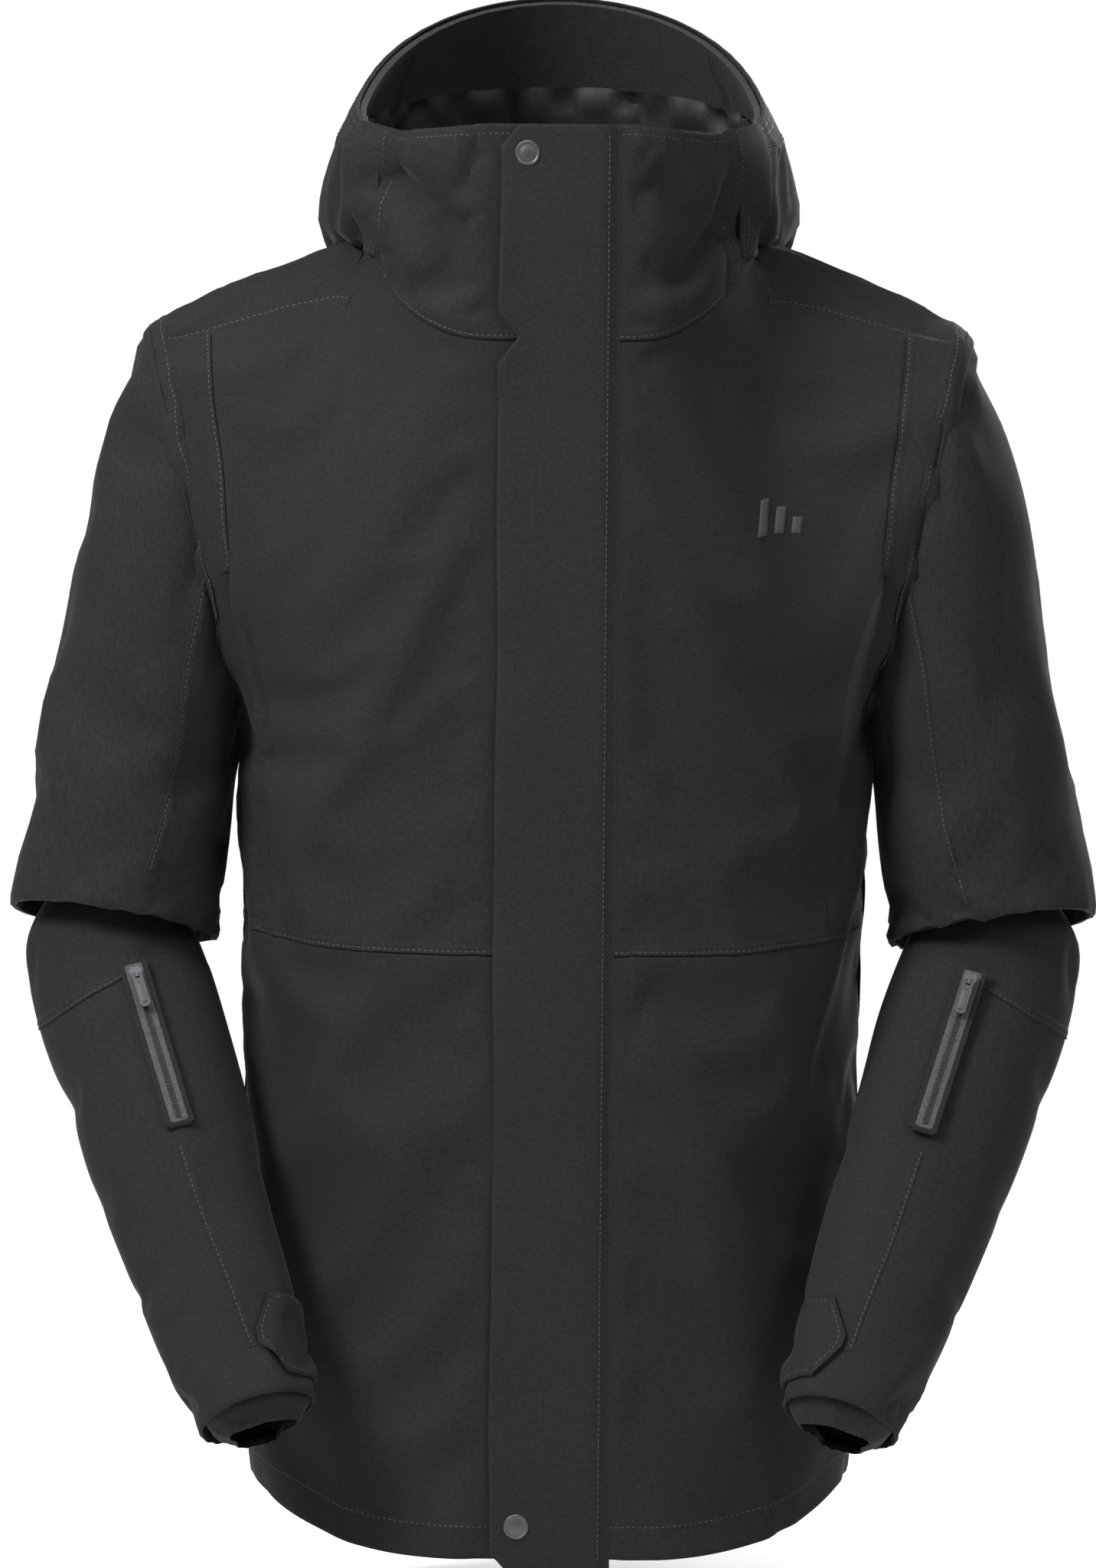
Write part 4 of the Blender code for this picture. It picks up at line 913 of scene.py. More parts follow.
HOOD_FOLDS = [
    ((0.60, 0.30), (0.90, 0.46), 0.0090, 0.014), ((0.52, 0.46), (0.82, 0.60), -0.0085, 0.013),
    ((0.50, 0.64), (0.90, 0.78), 0.0060, 0.014), ((0.70, 0.14), (0.90, 0.24), -0.0040, 0.013),
    ((-0.60, 0.28), (-0.90, 0.42), 0.0095, 0.015), ((-0.52, 0.42), (-0.82, 0.58), -0.0085, 0.013),
    ((-0.48, 0.62), (-0.90, 0.80), 0.0060, 0.014), ((-0.70, 0.12), (-0.90, 0.22), -0.0040, 0.013),
    ((0.0, 0.20), (0.30, 0.50), -0.0050, 0.020), ((0.0, 0.35), (-0.34, 0.60), 0.0050, 0.020),
]
COLLAR_FOLDS = {
    "L": [((0.29, 0.22), (0.43, 0.60), -0.0110, 0.012), ((0.24, 0.12), (0.40, 0.30), 0.0050, 0.011),
          ((0.34, 0.62), (0.42, 0.95), 0.0045, 0.012), ((0.25, 0.80), (0.33, 0.55), -0.0030, 0.013)],
    "R": [((0.28, 0.20), (0.29, 0.56), -0.0100, 0.013), ((0.29, 0.58), (0.42, 0.74), -0.0090, 0.012),
          ((0.34, 0.25), (0.42, 0.50), 0.0060, 0.013), ((0.25, 0.85), (0.36, 0.90), 0.0030, 0.014)],
}


BACK_FOLDS = [((1.5, 1.6), (1.9, 1.2), 0.004, 0.04), ((2.5, 1.6), (2.1, 1.2), -0.004, 0.04),
              ((1.2, 0.9), (1.8, 0.6), -0.005, 0.035), ((2.8, 0.9), (2.2, 0.62), -0.005, 0.035)]


def waist_and_hem(v, loose):
    """How firmly body cloth is held at its waist seam and hem, and how loosely elsewhere."""
    held = np.maximum(loose, 0.25 * bump(v - WAIST_V, 0.02))
    return np.maximum(held, 0.30 * bump(v, 0.03))


def body_pins(u, v):
    """How firmly the front is held: at the zip, neck, yoke, armhole and side, and lightly at its seams."""
    held = np.maximum(waist_and_hem(v, 0.015), 0.12 * bump(u - side_seam(v), 0.03))
    return np.where((u < STRIP_U * 1.06) | (u > 0.995) | (v > 1.985), 1.0, held)


def back_pins(u, v):
    """How firmly the back is held."""
    return np.where((u < 1.01) | (u > 2.99) | (v > 1.985), 1.0, waist_and_hem(v, 0.012))


def tube_pins(u, v):
    """Sleeves: held at the armhole or elbow, and lightly at the other end."""
    place = (v - v.min()) / (v.max() - v.min())
    return np.where(place < 0.03, 1.0, np.maximum(0.02, 0.6 * bump(1 - place, 0.04)))


def hood_pins(u, v):
    """The hood: held at the neck and collar seams, lightly at the rim and part seams."""
    held = np.maximum(0.02, 0.9 * ease((v - 0.80) / 0.10))
    held = np.maximum(held, 0.10 * bump(np.abs(u) - HOOD_PART, 0.02))
    return np.where((v < 0.02) | (np.abs(u) > 0.97) | (v > 0.985), 1.0, held)


def collar_pins(u, v):
    """The collar: held at its seams and along the flat strip behind the flap."""
    held = np.where((v < 0.05) | (u > COLLAR_SEAM_C - 0.006), 1.0, 0.01)
    held = np.maximum(held, 0.5 * ease((v - 0.93) / 0.05))
    return np.where(u < STRIP_U + 0.01, 1.0, held)


def edge_pins(u, v):
    """Held all round its border."""
    (u0, u1), (v0, v1) = (u.min(), u.max()), (v.min(), v.max())
    border = np.minimum(np.minimum(u - u0, u1 - u) / (u1 - u0), np.minimum(v - v0, v1 - v) / (v1 - v0))
    return np.where(border < 0.012, 1.0, 0.01)


FRONT, ARM, WRIST, COLLAR = {}, {}, {}, {}
for tag, side in SIDES:
    FRONT[tag] = settle(Skin(body, (EDGE_U, 1.0), (0.0, 2.0), side), (56, 100), body_pins, grow=0.012,
                        bending=7.0, fall=0.15, seed=11 + side, cap=0.006, folds=FRONT_FOLDS[tag],
                        start=0.0013, rounds=90)
    COLLAR[tag] = settle(Skin(collar, (EDGE_U, COLLAR_SEAM_C), (0.0, 1.0), side), (32, 26), collar_pins,
                         grow=0.024, bending=3.0, fall=0.1, seed=31 + side, cap=0.016,
                         folds=COLLAR_FOLDS[tag], start=0.0012)
    ARM[tag] = settle(Skin(upper_sleeve, FULL_TURN, (0.0, 1.0), side, wrap=True), (44, 44), tube_pins,
                      grow=0.024, bending=5.0, fall=0.25, seed=51 + side, cap=0.006,
                      folds=SLEEVE_FOLDS[tag], start=0.0020)
    WRIST[tag] = settle(Skin(forearm, FULL_TURN, FOREARM_SPAN, side, wrap=True), (44, 44), tube_pins,
                        grow=0.022, bending=4.0, fall=0.25, seed=71 + side, cap=0.0045,
                        folds=FOREARM_FOLDS[tag], start=0.0018)
BACK = settle(Skin(body, (1.0001, 2.9999), (0.0, 2.0)), (80, 84), back_pins, grow=0.018, bending=6.0,
              fall=0.15, seed=5, cap=0.008, folds=BACK_FOLDS, start=0.0030, rounds=60)
HOOD = settle(Skin(hood, (-1.0, 1.0), (0.0, 1.0), sign=-1), (76, 40), hood_pins, grow=0.014, bending=4.0,
              fall=0.3, seed=91, cap=0.010, folds=HOOD_FOLDS, start=0.0016)


def inside_hood(f, t):
    """The draped hood, a little way in from its cloth."""
    return HOOD.at(f, t, HOOD_LINING_DEPTH)


HOOD_INSIDE = settle(Skin(inside_hood, HOOD_LINING_F, HOOD_LINING_T, sign=-1), (110, 60), edge_pins,
                     grow=0.075, bending=0.4, fall=0.5, seed=97, cap=0.0065, start=0.0075,
                     spread=(0.018, 0.055))


# ---- pieces ---------------------------------------------------------------------------------------
def sleeve_blend(obj):
    """Bakes the placement of upper sleeve cloth into its mesh."""
    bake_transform(obj)


def elbow_blend(obj):
    """Bakes the placement of lower sleeve cloth into its mesh."""
    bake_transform(obj)


def part(obj, body_name=None, nodes=()):
    """Gives a piece its body and hides the CAD nodes it stands for."""
    if body_name:
        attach(obj, body_name)
    if nodes:
        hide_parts(*nodes)
    return obj


def sewn(strips, name, cloth=FABRIC, body_name="shell", bend=None):
    """The seam strips and stitches of a piece, which ride a body, with an optional extra step run on each."""
    for obj in strips.finish(name, cloth):
        part(obj, body_name)
        if bend:
            bend(obj)


def along_pocket(v, gap, reach):
    """Strength of the hand pocket's shaping: full along its mouth, fading with the distance from it."""
    level = ease((v - 0.84) / 0.12) * ease((1.47 - v) / 0.12)
    return level * np.exp(-np.clip(gap * SIDE_SCALE, 0, 1) / reach)


def pocket_lip(u, v):
    """The chest panel's outer edge stands a little proud along the hand pocket."""
    return POCKET_LIP_HEIGHT * along_pocket(v, side_seam(v) - u, 0.012)


def pocket_hollow(u, v):
    """The side panel sinks a little behind the hand pocket's lip."""
    return POCKET_HOLLOW_DEPTH * along_pocket(v, u - side_seam(v), 0.014)


def cloth_panel(name, skin, u_edges, v_edges, body_name="shell", soft=0.2, **shape):
    """A panel of the outer cloth, in place of the CAD node of its name."""
    return part(panel(f"{name}_cloth", skin, u_edges, v_edges, (0.0, SHELL), FABRIC, **shape),
                body_name, [name])


def make_front(tag, side):
    """Front panels, pocket lip and lining of one side, with their seams."""
    skin = FRONT[tag]
    seam_end = float(side_seam(np.array(1.9)))

    def chest_top(a):
        return top_of_chest(EDGE_U + a * (seam_end - EDGE_U))

    def yoke_foot(a):
        return top_of_chest(YOKE_U + a * (1 - YOKE_U))

    cloth_panel(f"chest_{tag}", skin, (EDGE_U, side_seam), (WAIST_V, chest_top), free=(1, 1, 1, 0),
                bulge=pocket_lip)
    cloth_panel(f"side_front_{tag}", skin, (side_seam, 1.0), (WAIST_V, YOKE_V), bulge=pocket_hollow)
    cloth_panel(f"lower_front_{tag}", skin, (EDGE_U, 1.0), (0.0, WAIST_V))
    cloth_panel(f"yoke_{tag}", skin, (YOKE_U, 1.0), (yoke_foot, 2.0), free=(0, 1, 0, 1))
    make_pocket_lip(tag, skin)
    part(panel(f"front_lining_{tag}_cloth", skin, (0.22, 0.97), (0.06, 1.86), LINING_DEPTHS, LINING,
               0.008), "shell", [f"front_lining_{tag}"])
    strips = Strips()
    v = np.linspace(1.405, YOKE_V, 30)
    strips.seam(skin, side_seam(v), v, side=side, profile=LOW_LAP)
    u = np.linspace(EDGE_U, 0.999, 40)
    strips.seam(skin, u, WAIST_V, side=-side, profile=LOW_LAP)
    strips.seam(skin, u, 0.0, side=side, rows=(HEM_STITCH_UP,))
    strips.seam(skin, np.linspace(0.556, 0.985, 30), YOKE_V, side=side, profile=LOW_LAP)
    sewn(strips, f"front_{tag}")


def make_pocket_lip(tag, skin):
    """The folded lip of the hand pocket, widest at its middle."""
    def swell(v):
        return ease((v - POCKET_LIP_SPAN[0]) / 0.14) * ease((POCKET_LIP_SPAN[1] - v) / 0.14)

    def right(v):
        return side_seam(v) + 0.001 + 0.013 * swell(v)

    def left(v):
        return side_seam(v) - 0.002 - 0.028 * swell(v)

    def lift(u, v):
        proud = pocket_lip(np.minimum(u, side_seam(v)), v)
        return proud - 0.0016 + 0.0022 * swell(v) * ease((u - left(v)) / 0.02)

    obj = panel(f"pocket_lip_{tag}_cloth", skin, (left, right), POCKET_LIP_SPAN,
                (SHELL - 0.0010, SHELL + 0.0012), FABRIC, 0.003, (0, 1, 0, 0), lift)
    part(obj, "shell", [f"pocket_lip_{tag}"])

    # A near-black strip beside the lip, in the pocket's opening: painted shade for the shadow line of the
    # gap.
    def mouth(v):
        return right(v) + 0.0012 + 0.0060 * swell(v)

    obj = panel(f"pocket_gap_shade_{tag}_cloth", skin, (right, mouth), POCKET_MOUTH_SPAN,
                (SHELL - 0.0008, SHELL + 0.0004), POCKET_PAINTED_SHADE, 0.003, (0, 0, 0, 0))
    part(obj, "shell")


def make_back():
    """Back panels, lining and seams."""
    across = (1.0002, 2.9998)
    cloth_panel("upper_back", BACK, across, (WAIST_V, 2.0), cell=BACK_CELL)
    cloth_panel("lower_back", BACK, across, (0.0, WAIST_V), cell=BACK_CELL)
    part(panel("back_lining_cloth", BACK, (1.04, 2.96), (0.06, 1.86), LINING_DEPTHS, LINING, 0.009),
         "shell", ["back_lining"])
    strips = Strips()
    u = np.linspace(1.001, 2.999, 90)
    strips.seam(BACK, u, WAIST_V, side=-1, profile=LOW_LAP)
    strips.seam(BACK, u, 0.0, rows=(HEM_STITCH_UP,))
    v = np.linspace(0.0, 0.995, 50)
    for edge, way in ((1.012, -1), (2.988, 1)):
        strips.seam(BACK, edge, v, side=way, profile=LOW_LAP)
    for ends in ((1.02, 1.44), (2.56, 2.98)):
        strips.seam(BACK, np.linspace(*ends, 30), 1.90, profile=LOW_LAP)
    sewn(strips, "back")


def bridge(name, from_points, from_out, to_points, to_out, finish, swell=None):
    """A lapped seam strip that rolls smoothly from one surface over onto the next."""
    like = np.clip((from_out * to_out).sum(-1, keepdims=True), -0.5, 0.9999)
    gap = np.linalg.norm(to_points - from_points, axis=-1, keepdims=True)
    opening = np.sign(((to_points - from_points) * (to_out - from_out)).sum(-1, keepdims=True))
    middle_out = unit(from_out + to_out)
    reach = np.minimum(gap / 2 * np.sqrt((1 - like) / (1 + like)), 0.008)
    knot = (from_points + to_points) / 2 + middle_out * (reach * opening if swell is None else swell)
    rows, inner = [], []
    for a in np.array((0.0, 0.04, 0.12, 0.25, 0.38, 0.5, 0.62, 0.75, 0.88, 0.96, 1.0)):
        at = (1 - a) ** 2 * from_points + 2 * a * (1 - a) * knot + a * a * to_points
        out = unit(from_out * (1 - a) + to_out * a)
        edge = 0.0010 * max(math.exp(-(a / 0.04) ** 2), math.exp(-((1 - a) / 0.04) ** 2))
        rows.append(at + out * (0.0007 - edge))
        inner.append(at - out * 0.0009)
    outer, inner = np.stack(rows, axis=0), np.stack(inner, axis=0)
    across = np.linspace(0, 0.014, len(outer))[:, None]
    uv = np.stack(np.broadcast_arrays(across, run_along(outer[5])[None]), axis=-1)
    return shell_mesh(name, outer, inner, uv, finish), outer[3] + from_out * 0.0001, from_out


def make_armhole(tag, side):
    """The armhole seam, lapped from the body onto the sleeve, with its row of stitches."""
    turn = np.linspace(*FULL_TURN, 140)
    v = 1 + (0.004 + np.abs(1 - turn / math.pi) * 0.990)
    front = (turn <= math.pi)[:, None]
    front_u, back_u, level = 0.975, 1.022 if side > 0 else 2.978, 0.035
    skin, arm = FRONT[tag], ARM[tag]
    inner = np.where(front, skin.at(front_u, v, SHELL), BACK.at(back_u, v, SHELL))
    inner_out = np.where(front, skin.normal(front_u, v), BACK.normal(back_u, v))
    obj, line, out = bridge(f"armhole_{tag}", inner, inner_out, arm.at(turn, level, SHELL),
                            arm.normal(turn, level), FABRIC)
    part(obj)
    sleeve_blend(obj)
    strips = Strips()
    strips.row_of(line, out)
    sewn(strips, f"armhole_{tag}", body_name=None, bend=lambda made: sleeve_blend(made))


def make_hood_join(tag, side):
    """The collar's rear edge, lapped over the hood's front edge."""
    skin, c, w = COLLAR[tag], COLLAR_SEAM_C - 0.045, np.linspace(0.0, 1.0, 36)
    near, near_out = skin.at(c, w, SHELL), skin.normal(c, w)
    level = np.clip((near[:, 2] - HOOD_EDGE_Z[0]) / (HOOD_EDGE_Z[1] - HOOD_EDGE_Z[0]), 0.0, 1.0)
    f = side * 0.885
    far, far_out = HOOD.at(f, level, SHELL), HOOD.normal(f, level)
    obj, line, out = bridge(f"hood_join_{tag}", near, near_out, far, far_out, FABRIC, 0.0042)
    strips = Strips()
    strips.row_of(line, out)
    for made in [obj] + strips.finish(f"hood_join_{tag}", FABRIC):
        part(made)
        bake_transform(made)


def make_collar(tag, side):
    """Collar front half with its neck seam and stitched top edge."""
    skin = COLLAR[tag]
    part(panel(f"collar_{tag}_cloth", skin, (EDGE_U, COLLAR_SEAM_C), (0.0, 1.0), (-0.0012, SHELL), FABRIC,
               0.0035), "shell", [f"collar_{tag}"])
    strips = Strips()
    c = np.linspace(EDGE_U, COLLAR_SEAM_C, 30)
    strips.seam(skin, c, 0.012, side=-side, profile=LOW_LAP)
    strips.seam(skin, c, 1.0, side=side, rows=(-0.006,))
    sewn(strips, f"collar_{tag}")


SLEEVE_SEAM = [(1.80, 0.0), (1.84, 0.2), (1.87, 0.4), (1.93, 0.7), (1.88, 0.86), (1.76, 1.0)]
FOREARM_SEAM = [(1.715, 0.475), (1.720, 0.59), (1.735, 0.68), (1.80, 0.80), (1.85, 0.90)]
GARAGE_SEAM = [(1.90, 0.118), (1.80, 0.124), (1.60, 0.136), (1.05, 0.150), (0.58, 0.142), (0.15, 0.125)]


def sleeve_hem(u, v):
    """The upper sleeve's hem rolls out over the forearm."""
    return 0.0022 * ease((v - 0.90) / 0.10)


def make_sleeve(tag, side):
    """Upper sleeve and forearm cloth of one side."""
    arm, wrist = ARM[tag], WRIST[tag]
    obj = panel(f"upper_sleeve_{tag}_cloth", arm, FULL_TURN, (0.0, 1.0), (0.0004, SHELL), FABRIC,
                free=(0, 0, 0, 1), bulge=sleeve_hem)
    part(obj, None, [f"upper_sleeve_{tag}"])
    sleeve_blend(obj)
    strips = Strips()
    u, v = np.array(SLEEVE_SEAM).T
    strips.seam(arm, u, v * 0.985 + 0.01, side=side, profile=LOW_LAP)
    sewn(strips, f"upper_sleeve_{tag}", body_name=None, bend=lambda made: sleeve_blend(made))
    obj = panel(f"forearm_{tag}_cloth", wrist, FULL_TURN, FOREARM_SPAN, (-0.0022, 0.0), FABRIC,
                free=(0, 0, 0, 1))
    part(obj, None, [f"forearm_{tag}"])
    elbow_blend(obj)
    strips = Strips()
    strips.seam(wrist, *np.array(FOREARM_SEAM).T, depth=0.0, side=side, profile=LOW_LAP)
    strips.seam(wrist, *np.array(GARAGE_SEAM).T, depth=0.0004, side=-side, profile=LAP)
    strips.seam(wrist, 4.7, np.linspace(-0.02, 0.99, 30), depth=0.0, side=side, profile=LOW_LAP)
    sewn(strips, f"forearm_{tag}", body_name=None, bend=lambda made: elbow_blend(made))
    make_gaiter(tag, side)


def make_gaiter(tag, side):
    """The soft wrist gaiter inside the cuff, gathered into folds."""
    def shape(turn, s):
        fold = 0.0022 * np.cos(3 * turn + 0.7) + 0.0014 * np.cos(5 * turn + 12 * s)
        inset = 0.0062 + fold + 0.0045 * ease((GAITER_FLAT_ENDS - s) / 0.05)
        inset = -inset - 0.010 * ease((s - 0.99) / 0.05)
        on_arm = np.clip(s, 0, 1)
        axis = ELBOW + DOWN * (s * FOREARM_LENGTH)[..., None]
        away = forearm(turn, on_arm) - (ELBOW + DOWN * (on_arm * FOREARM_LENGTH)[..., None])
        return axis + away + unit(away) * inset[..., None]

    skin = settle(Skin(shape, FULL_TURN, GAITER_SPAN, side, wrap=True), (44, 14), tube_pins, grow=0.05,
                  bending=1.0, fall=0.3, seed=41 + side, cap=0.004, start=0.0012)
    obj = panel(f"wrist_gaiter_{tag}_cloth", skin, FULL_TURN, GAITER_SPAN, (-0.0010, 0.0), GAITER, 0.003)
    part(obj, f"forearm_{tag}", [f"wrist_gaiter_{tag}"])


def make_cuff_tab(tag, side):
    """Cuff adjuster tab with stitched edges, pointed at its free end."""
    skin = WRIST[tag]
    (a0, a1), (s0, s1) = TAB_ANGLES, TAB_S

    def tip(s):
        across = (s - (s0 + s1) / 2) / ((s1 - s0) / 2)
        return a0 + (a1 - a0) * 0.30 * np.clip(np.abs(across) - 0.15, 0, 1)

    obj = panel(f"cuff_tab_{tag}_cloth", skin, (tip, a1), (s0, s1), (0.0007, 0.0030), FABRIC, 0.0025)
    part(obj, f"cuff_tab_{tag}", [f"cuff_tab_{tag}"])
    strips = Strips()
    s = np.linspace(s0 + 0.012, s1 - 0.012, 14)
    strips.seam(skin, tip(s) + 0.09, s, 0.0030, side, rows=(0.0,))
    for edge in (s0 + 0.010, s1 - 0.010):
        turn = np.linspace(float(tip(edge)) + 0.10, a1 - 0.02, 16)
        strips.seam(skin, turn, edge, 0.0030, side, rows=(0.0,))
    sewn(strips, f"cuff_tab_{tag}", body_name=f"cuff_tab_{tag}")


# ---- sleeve pockets -------------------------------------------------------------------------------
def block_mesh(blocks):
    """Vertices and faces of many eight-cornered blocks."""
    one = np.array([(0, 3, 2, 1), (4, 5, 6, 7), (0, 1, 5, 4), (1, 2, 6, 5), (2, 3, 7, 6), (3, 0, 4, 7)])
    k = len(blocks)
    faces = (one[None] + np.arange(k)[:, None, None] * 8).reshape(-1, 4)
    return blocks.reshape(-1, 3), faces


def teeth(place, length, pitch, half, low, high):
    """The turns of a zip coil, as small slanted blocks on both sides of its line."""
    base, across, along, out = place
    k = np.arange(int(length / pitch)) * pitch + pitch / 2
    blocks = []
    for way in (-1, 1):
        start = base + along * (k + way * pitch / 4)[:, None]
        corner = []
        for height in (low, high):
            for a, b in ((0.15, -0.35), (1.0, -0.15), (1.0, 0.15), (0.15, 0.35)):
                shrink = 0.75 if height == high else 1.0
                corner.append(start + across * way * half * a + along * b * pitch * shrink + out * height)
        blocks.append(np.stack(corner, axis=1))
    return block_mesh(np.concatenate(blocks))


def flat_strip(name, place, xs, ys, depths, finish, wave=None):
    """A flat strip of cloth or tape on a frame (base, across, along, out), with rounded edges."""
    (base, across, along, out), (low, high) = place, depths
    x = xs[0] + (xs[1] - xs[0]) * spaced(xs[1] - xs[0], 0.002)
    y = ys[0] + (ys[1] - ys[0]) * spaced(ys[1] - ys[0], 0.006)
    a, b = np.meshgrid(x, y, indexing="ij")
    lift = np.zeros_like(a) if wave is None else wave(a, b)
    edge = np.minimum(np.minimum(a - xs[0], xs[1] - a), np.minimum(b - ys[0], ys[1] - b))
    round_ = (high - low) * 0.3 * bump(edge, 0.0006)
    flat = base + across * a[..., None] + along * b[..., None]
    uv = np.stack([a, b], axis=-1)
    return shell_mesh(name, flat + out * (high + lift - round_)[..., None],
                      flat + out * (low + lift + round_)[..., None], uv, finish)


def pocket_frame(side, s):
    """Frame on the forearm pocket's zip line: across, up the sleeve, and out."""
    turn = np.array(POCKET_ANGLE)
    top, bottom = forearm(turn, np.array(POCKET_S[0])), forearm(turn, np.array(POCKET_S[1]))
    along = unit(top - bottom)
    middle = np.array(sum(POCKET_S) / 2)
    plain = Skin(forearm, FULL_TURN, FOREARM_SPAN, wrap=True)
    out = plain.normal(turn, middle)
    out = unit(out - along * np.dot(out, along))
    base = bottom + (top - bottom) * s
    return tuple(p * mirrored(side) for p in (base, np.cross(along, out), along, out))


def make_sleeve_pocket(tag, side):
    """Forearm pocket: tape, coil, welted opening, slider, and puller with its inlay."""
    place = pocket_frame(side, 0.0)
    length = float(np.linalg.norm(pocket_frame(1, 1.0)[0] - pocket_frame(1, 0.0)[0]))
    tape = flat_strip(f"pocket_tape_{tag}_cloth", place, (-0.0060, 0.0060), (-0.002, length + 0.001),
                      (0.0008, 0.0018), TAPE)
    part(tape, f"forearm_{tag}", [f"pocket_tape_{tag}"])
    verts, faces = teeth(place, length, 0.0012, 0.0017, 0.0017, 0.0030)
    coil = add_mesh(f"pocket_coil_{tag}_turns", verts, faces, verts[:, :2], COIL)
    part(coil, f"forearm_{tag}", [f"pocket_coil_{tag}"])
    for name, xs, ys, high in ((f"pocket_welt_{tag}_a", (-0.0074, -0.0056), (-0.004, length + 0.003), 0.0017),
                               (f"pocket_welt_{tag}_b", (0.0056, 0.0074), (-0.004, length + 0.003), 0.0017),
                               (f"pocket_foot_{tag}", (-0.0072, 0.0072), (-0.0050, -0.001), 0.0016)):
        edge = flat_strip(name, place, xs, ys, (-0.0010, high), FABRIC)
        part(edge, f"forearm_{tag}")
    hard_node(f"pocket_slider_{tag}", METAL)
    hard_node(f"pocket_puller_{tag}", BRIGHT_METAL)
    inlay = flat_strip(f"pocket_puller_{tag}_inlay", pocket_frame(side, POCKET_SLIDER_AT),
                       (-0.0019, 0.0019), (-0.0200, -0.0060), (0.0068, 0.00745), RUBBER)
    part(inlay, f"pocket_puller_{tag}")


def hard_node(name, finish):
    """A hard CAD piece, shown with its finish and small rounded edges."""
    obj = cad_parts[name]
    obj.data.materials.clear()
    obj.data.materials.append(finish)
    bevel = obj.modifiers.new("edges", "BEVEL")
    bevel.width = BEVEL_WIDTH
    bevel.segments = 2
    bevel.limit_method = "ANGLE"
    bevel.angle_limit = math.radians(40)


# ---- front closure --------------------------------------------------------------------------------
STRIP_UP = unit(np.array((0.0, FRONT_LEAN, 1.0)))
STRIP_OUT = unit(np.array((0.0, -1.0, FRONT_LEAN)))
STRIP_ACROSS = np.array((1.0, 0.0, 0.0))
STRIP_BASE = np.array((0.0, plane_y(0.0), 0.0))
STRIP_FRAME = (STRIP_BASE, STRIP_ACROSS, STRIP_UP, STRIP_OUT)
FLAP_OUTLINE = [(FLAP_BOTTOM, -0.0262), (FLAP_BOTTOM + 0.006, -0.0315), (FLAP_BOTTOM + 0.0097, -0.0360),
                (-0.066, -0.0360), (-0.0640, -0.0352), (-0.0495, -0.0238), (-0.0350, -0.0352),
                (-0.033, -0.0360), (FLAP_TOP - 0.0135, -0.0360), (FLAP_TOP - 0.006, -0.0305),
                (FLAP_TOP - 0.001, -0.0250), (FLAP_TOP, -0.0235)]


def flap_left(h):
    """The free edge of the storm flap, with its notch and cut corners, slightly wavy."""
    plain = np.interp(h, [k[0] for k in FLAP_OUTLINE], [k[1] for k in FLAP_OUTLINE])
    return plain + 0.0005 * np.sin(h * 21 + 0.4) + 0.0003 * np.sin(h * 47)


def flap_lift(x, h):
    """How the flap lies: sewn down at its right edge, free and gently wavy at its left."""
    free = ease((FLAP_HALF + 0.001 - x) / 0.010)
    inward = np.clip((FLAP_HALF - x) / (2 * FLAP_HALF), 0, 1)
    loose = inward ** 1.5
    wave = 0.0011 * np.sin(h * 17 + 1.0) + 0.0007 * np.sin(h * 41 + 2.0) + 0.0004 * np.sin(h * 83)
    broad = 0.0012 * np.sin(h * 9.5 + x * 30) * np.sin((x + FLAP_HALF) / (2 * FLAP_HALF) * math.pi)
    held = 1 - 0.8 * sum(bump(h - place, 0.02) for place in SNAP_HEIGHTS.values())
    puff = 0.0007 * np.sin(inward * math.pi)
    return FLAP_SEWN_DIP * (1 - free) + free * ((wave * loose + broad) * held + puff)


def flap_point(x, h, lift):
    """A point on the flap's frame."""
    return (STRIP_BASE + STRIP_ACROSS * x[..., None] + STRIP_UP * h[..., None]
            + STRIP_OUT * lift[..., None])


def make_storm_flap():
    """Storm flap with its notch, its row of stitches and its snaps."""
    height = FLAP_TOP - FLAP_BOTTOM
    key = np.array([k[0] for k in FLAP_OUTLINE])
    h = np.unique(np.concatenate([FLAP_BOTTOM + height * spaced(height, 0.0045), key]))
    a = spaced(2 * FLAP_HALF, 0.0035)
    a, h = np.meshgrid(a, h, indexing="ij")
    left = flap_left(h)
    x = left * (1 - a) + (FLAP_HALF + 0.0012) * a
    edge = np.minimum(x - left, np.minimum(h - FLAP_BOTTOM, FLAP_TOP - h))
    rolled = 0.0009 * bump(np.maximum(edge, 0), ROLL_REACH)
    lift = flap_lift(x, h)
    low, high = FLAP_INNER + 0.0001, FLAP_INNER + FLAP_THICK
    outer = flap_point(x, h, lift + high - rolled)
    inner = flap_point(x, h, lift + low + rolled * 0.4)
    uv = np.stack([x, h], axis=-1)
    obj = shell_mesh("storm_flap_cloth", outer, inner, uv, FLAP_FABRIC)
    part(obj, "storm_flap", ["storm_flap", "collar_tab"])
    strips = Strips()
    h = np.linspace(FLAP_BOTTOM + 0.004, FLAP_TOP - 0.003, 260)
    out = np.tile(STRIP_OUT, (len(h), 1))
    x = np.full(len(h), FLAP_STITCH_X)
    strips.row_of(flap_point(x, h, flap_lift(x, h) + high + 0.0001), out)
    sewn(strips, "storm_flap", FLAP_FABRIC, "storm_flap")
    for place, level in SNAP_HEIGHTS.items():
        make_snap(place, level, high)


def lathe(name, profile, base, out, finish, count=56):
    """A turned piece from a profile of (radius, height)."""
    side = unit(np.cross(out, np.array((0.0, 0.0, 1.0))))
    up = np.cross(side, out)
    turn = np.arange(count) * 2 * math.pi / count
    ring = np.cos(turn)[:, None] * side + np.sin(turn)[:, None] * up
    rows = np.stack([base + ring * max(r, 1e-5) + out * h for r, h in profile], axis=1)
    faces = grid_faces(count, len(profile), True)
    verts = rows.reshape(-1, 3)
    return add_mesh(name, verts, faces, verts[:, [0, 2]], finish, 35)


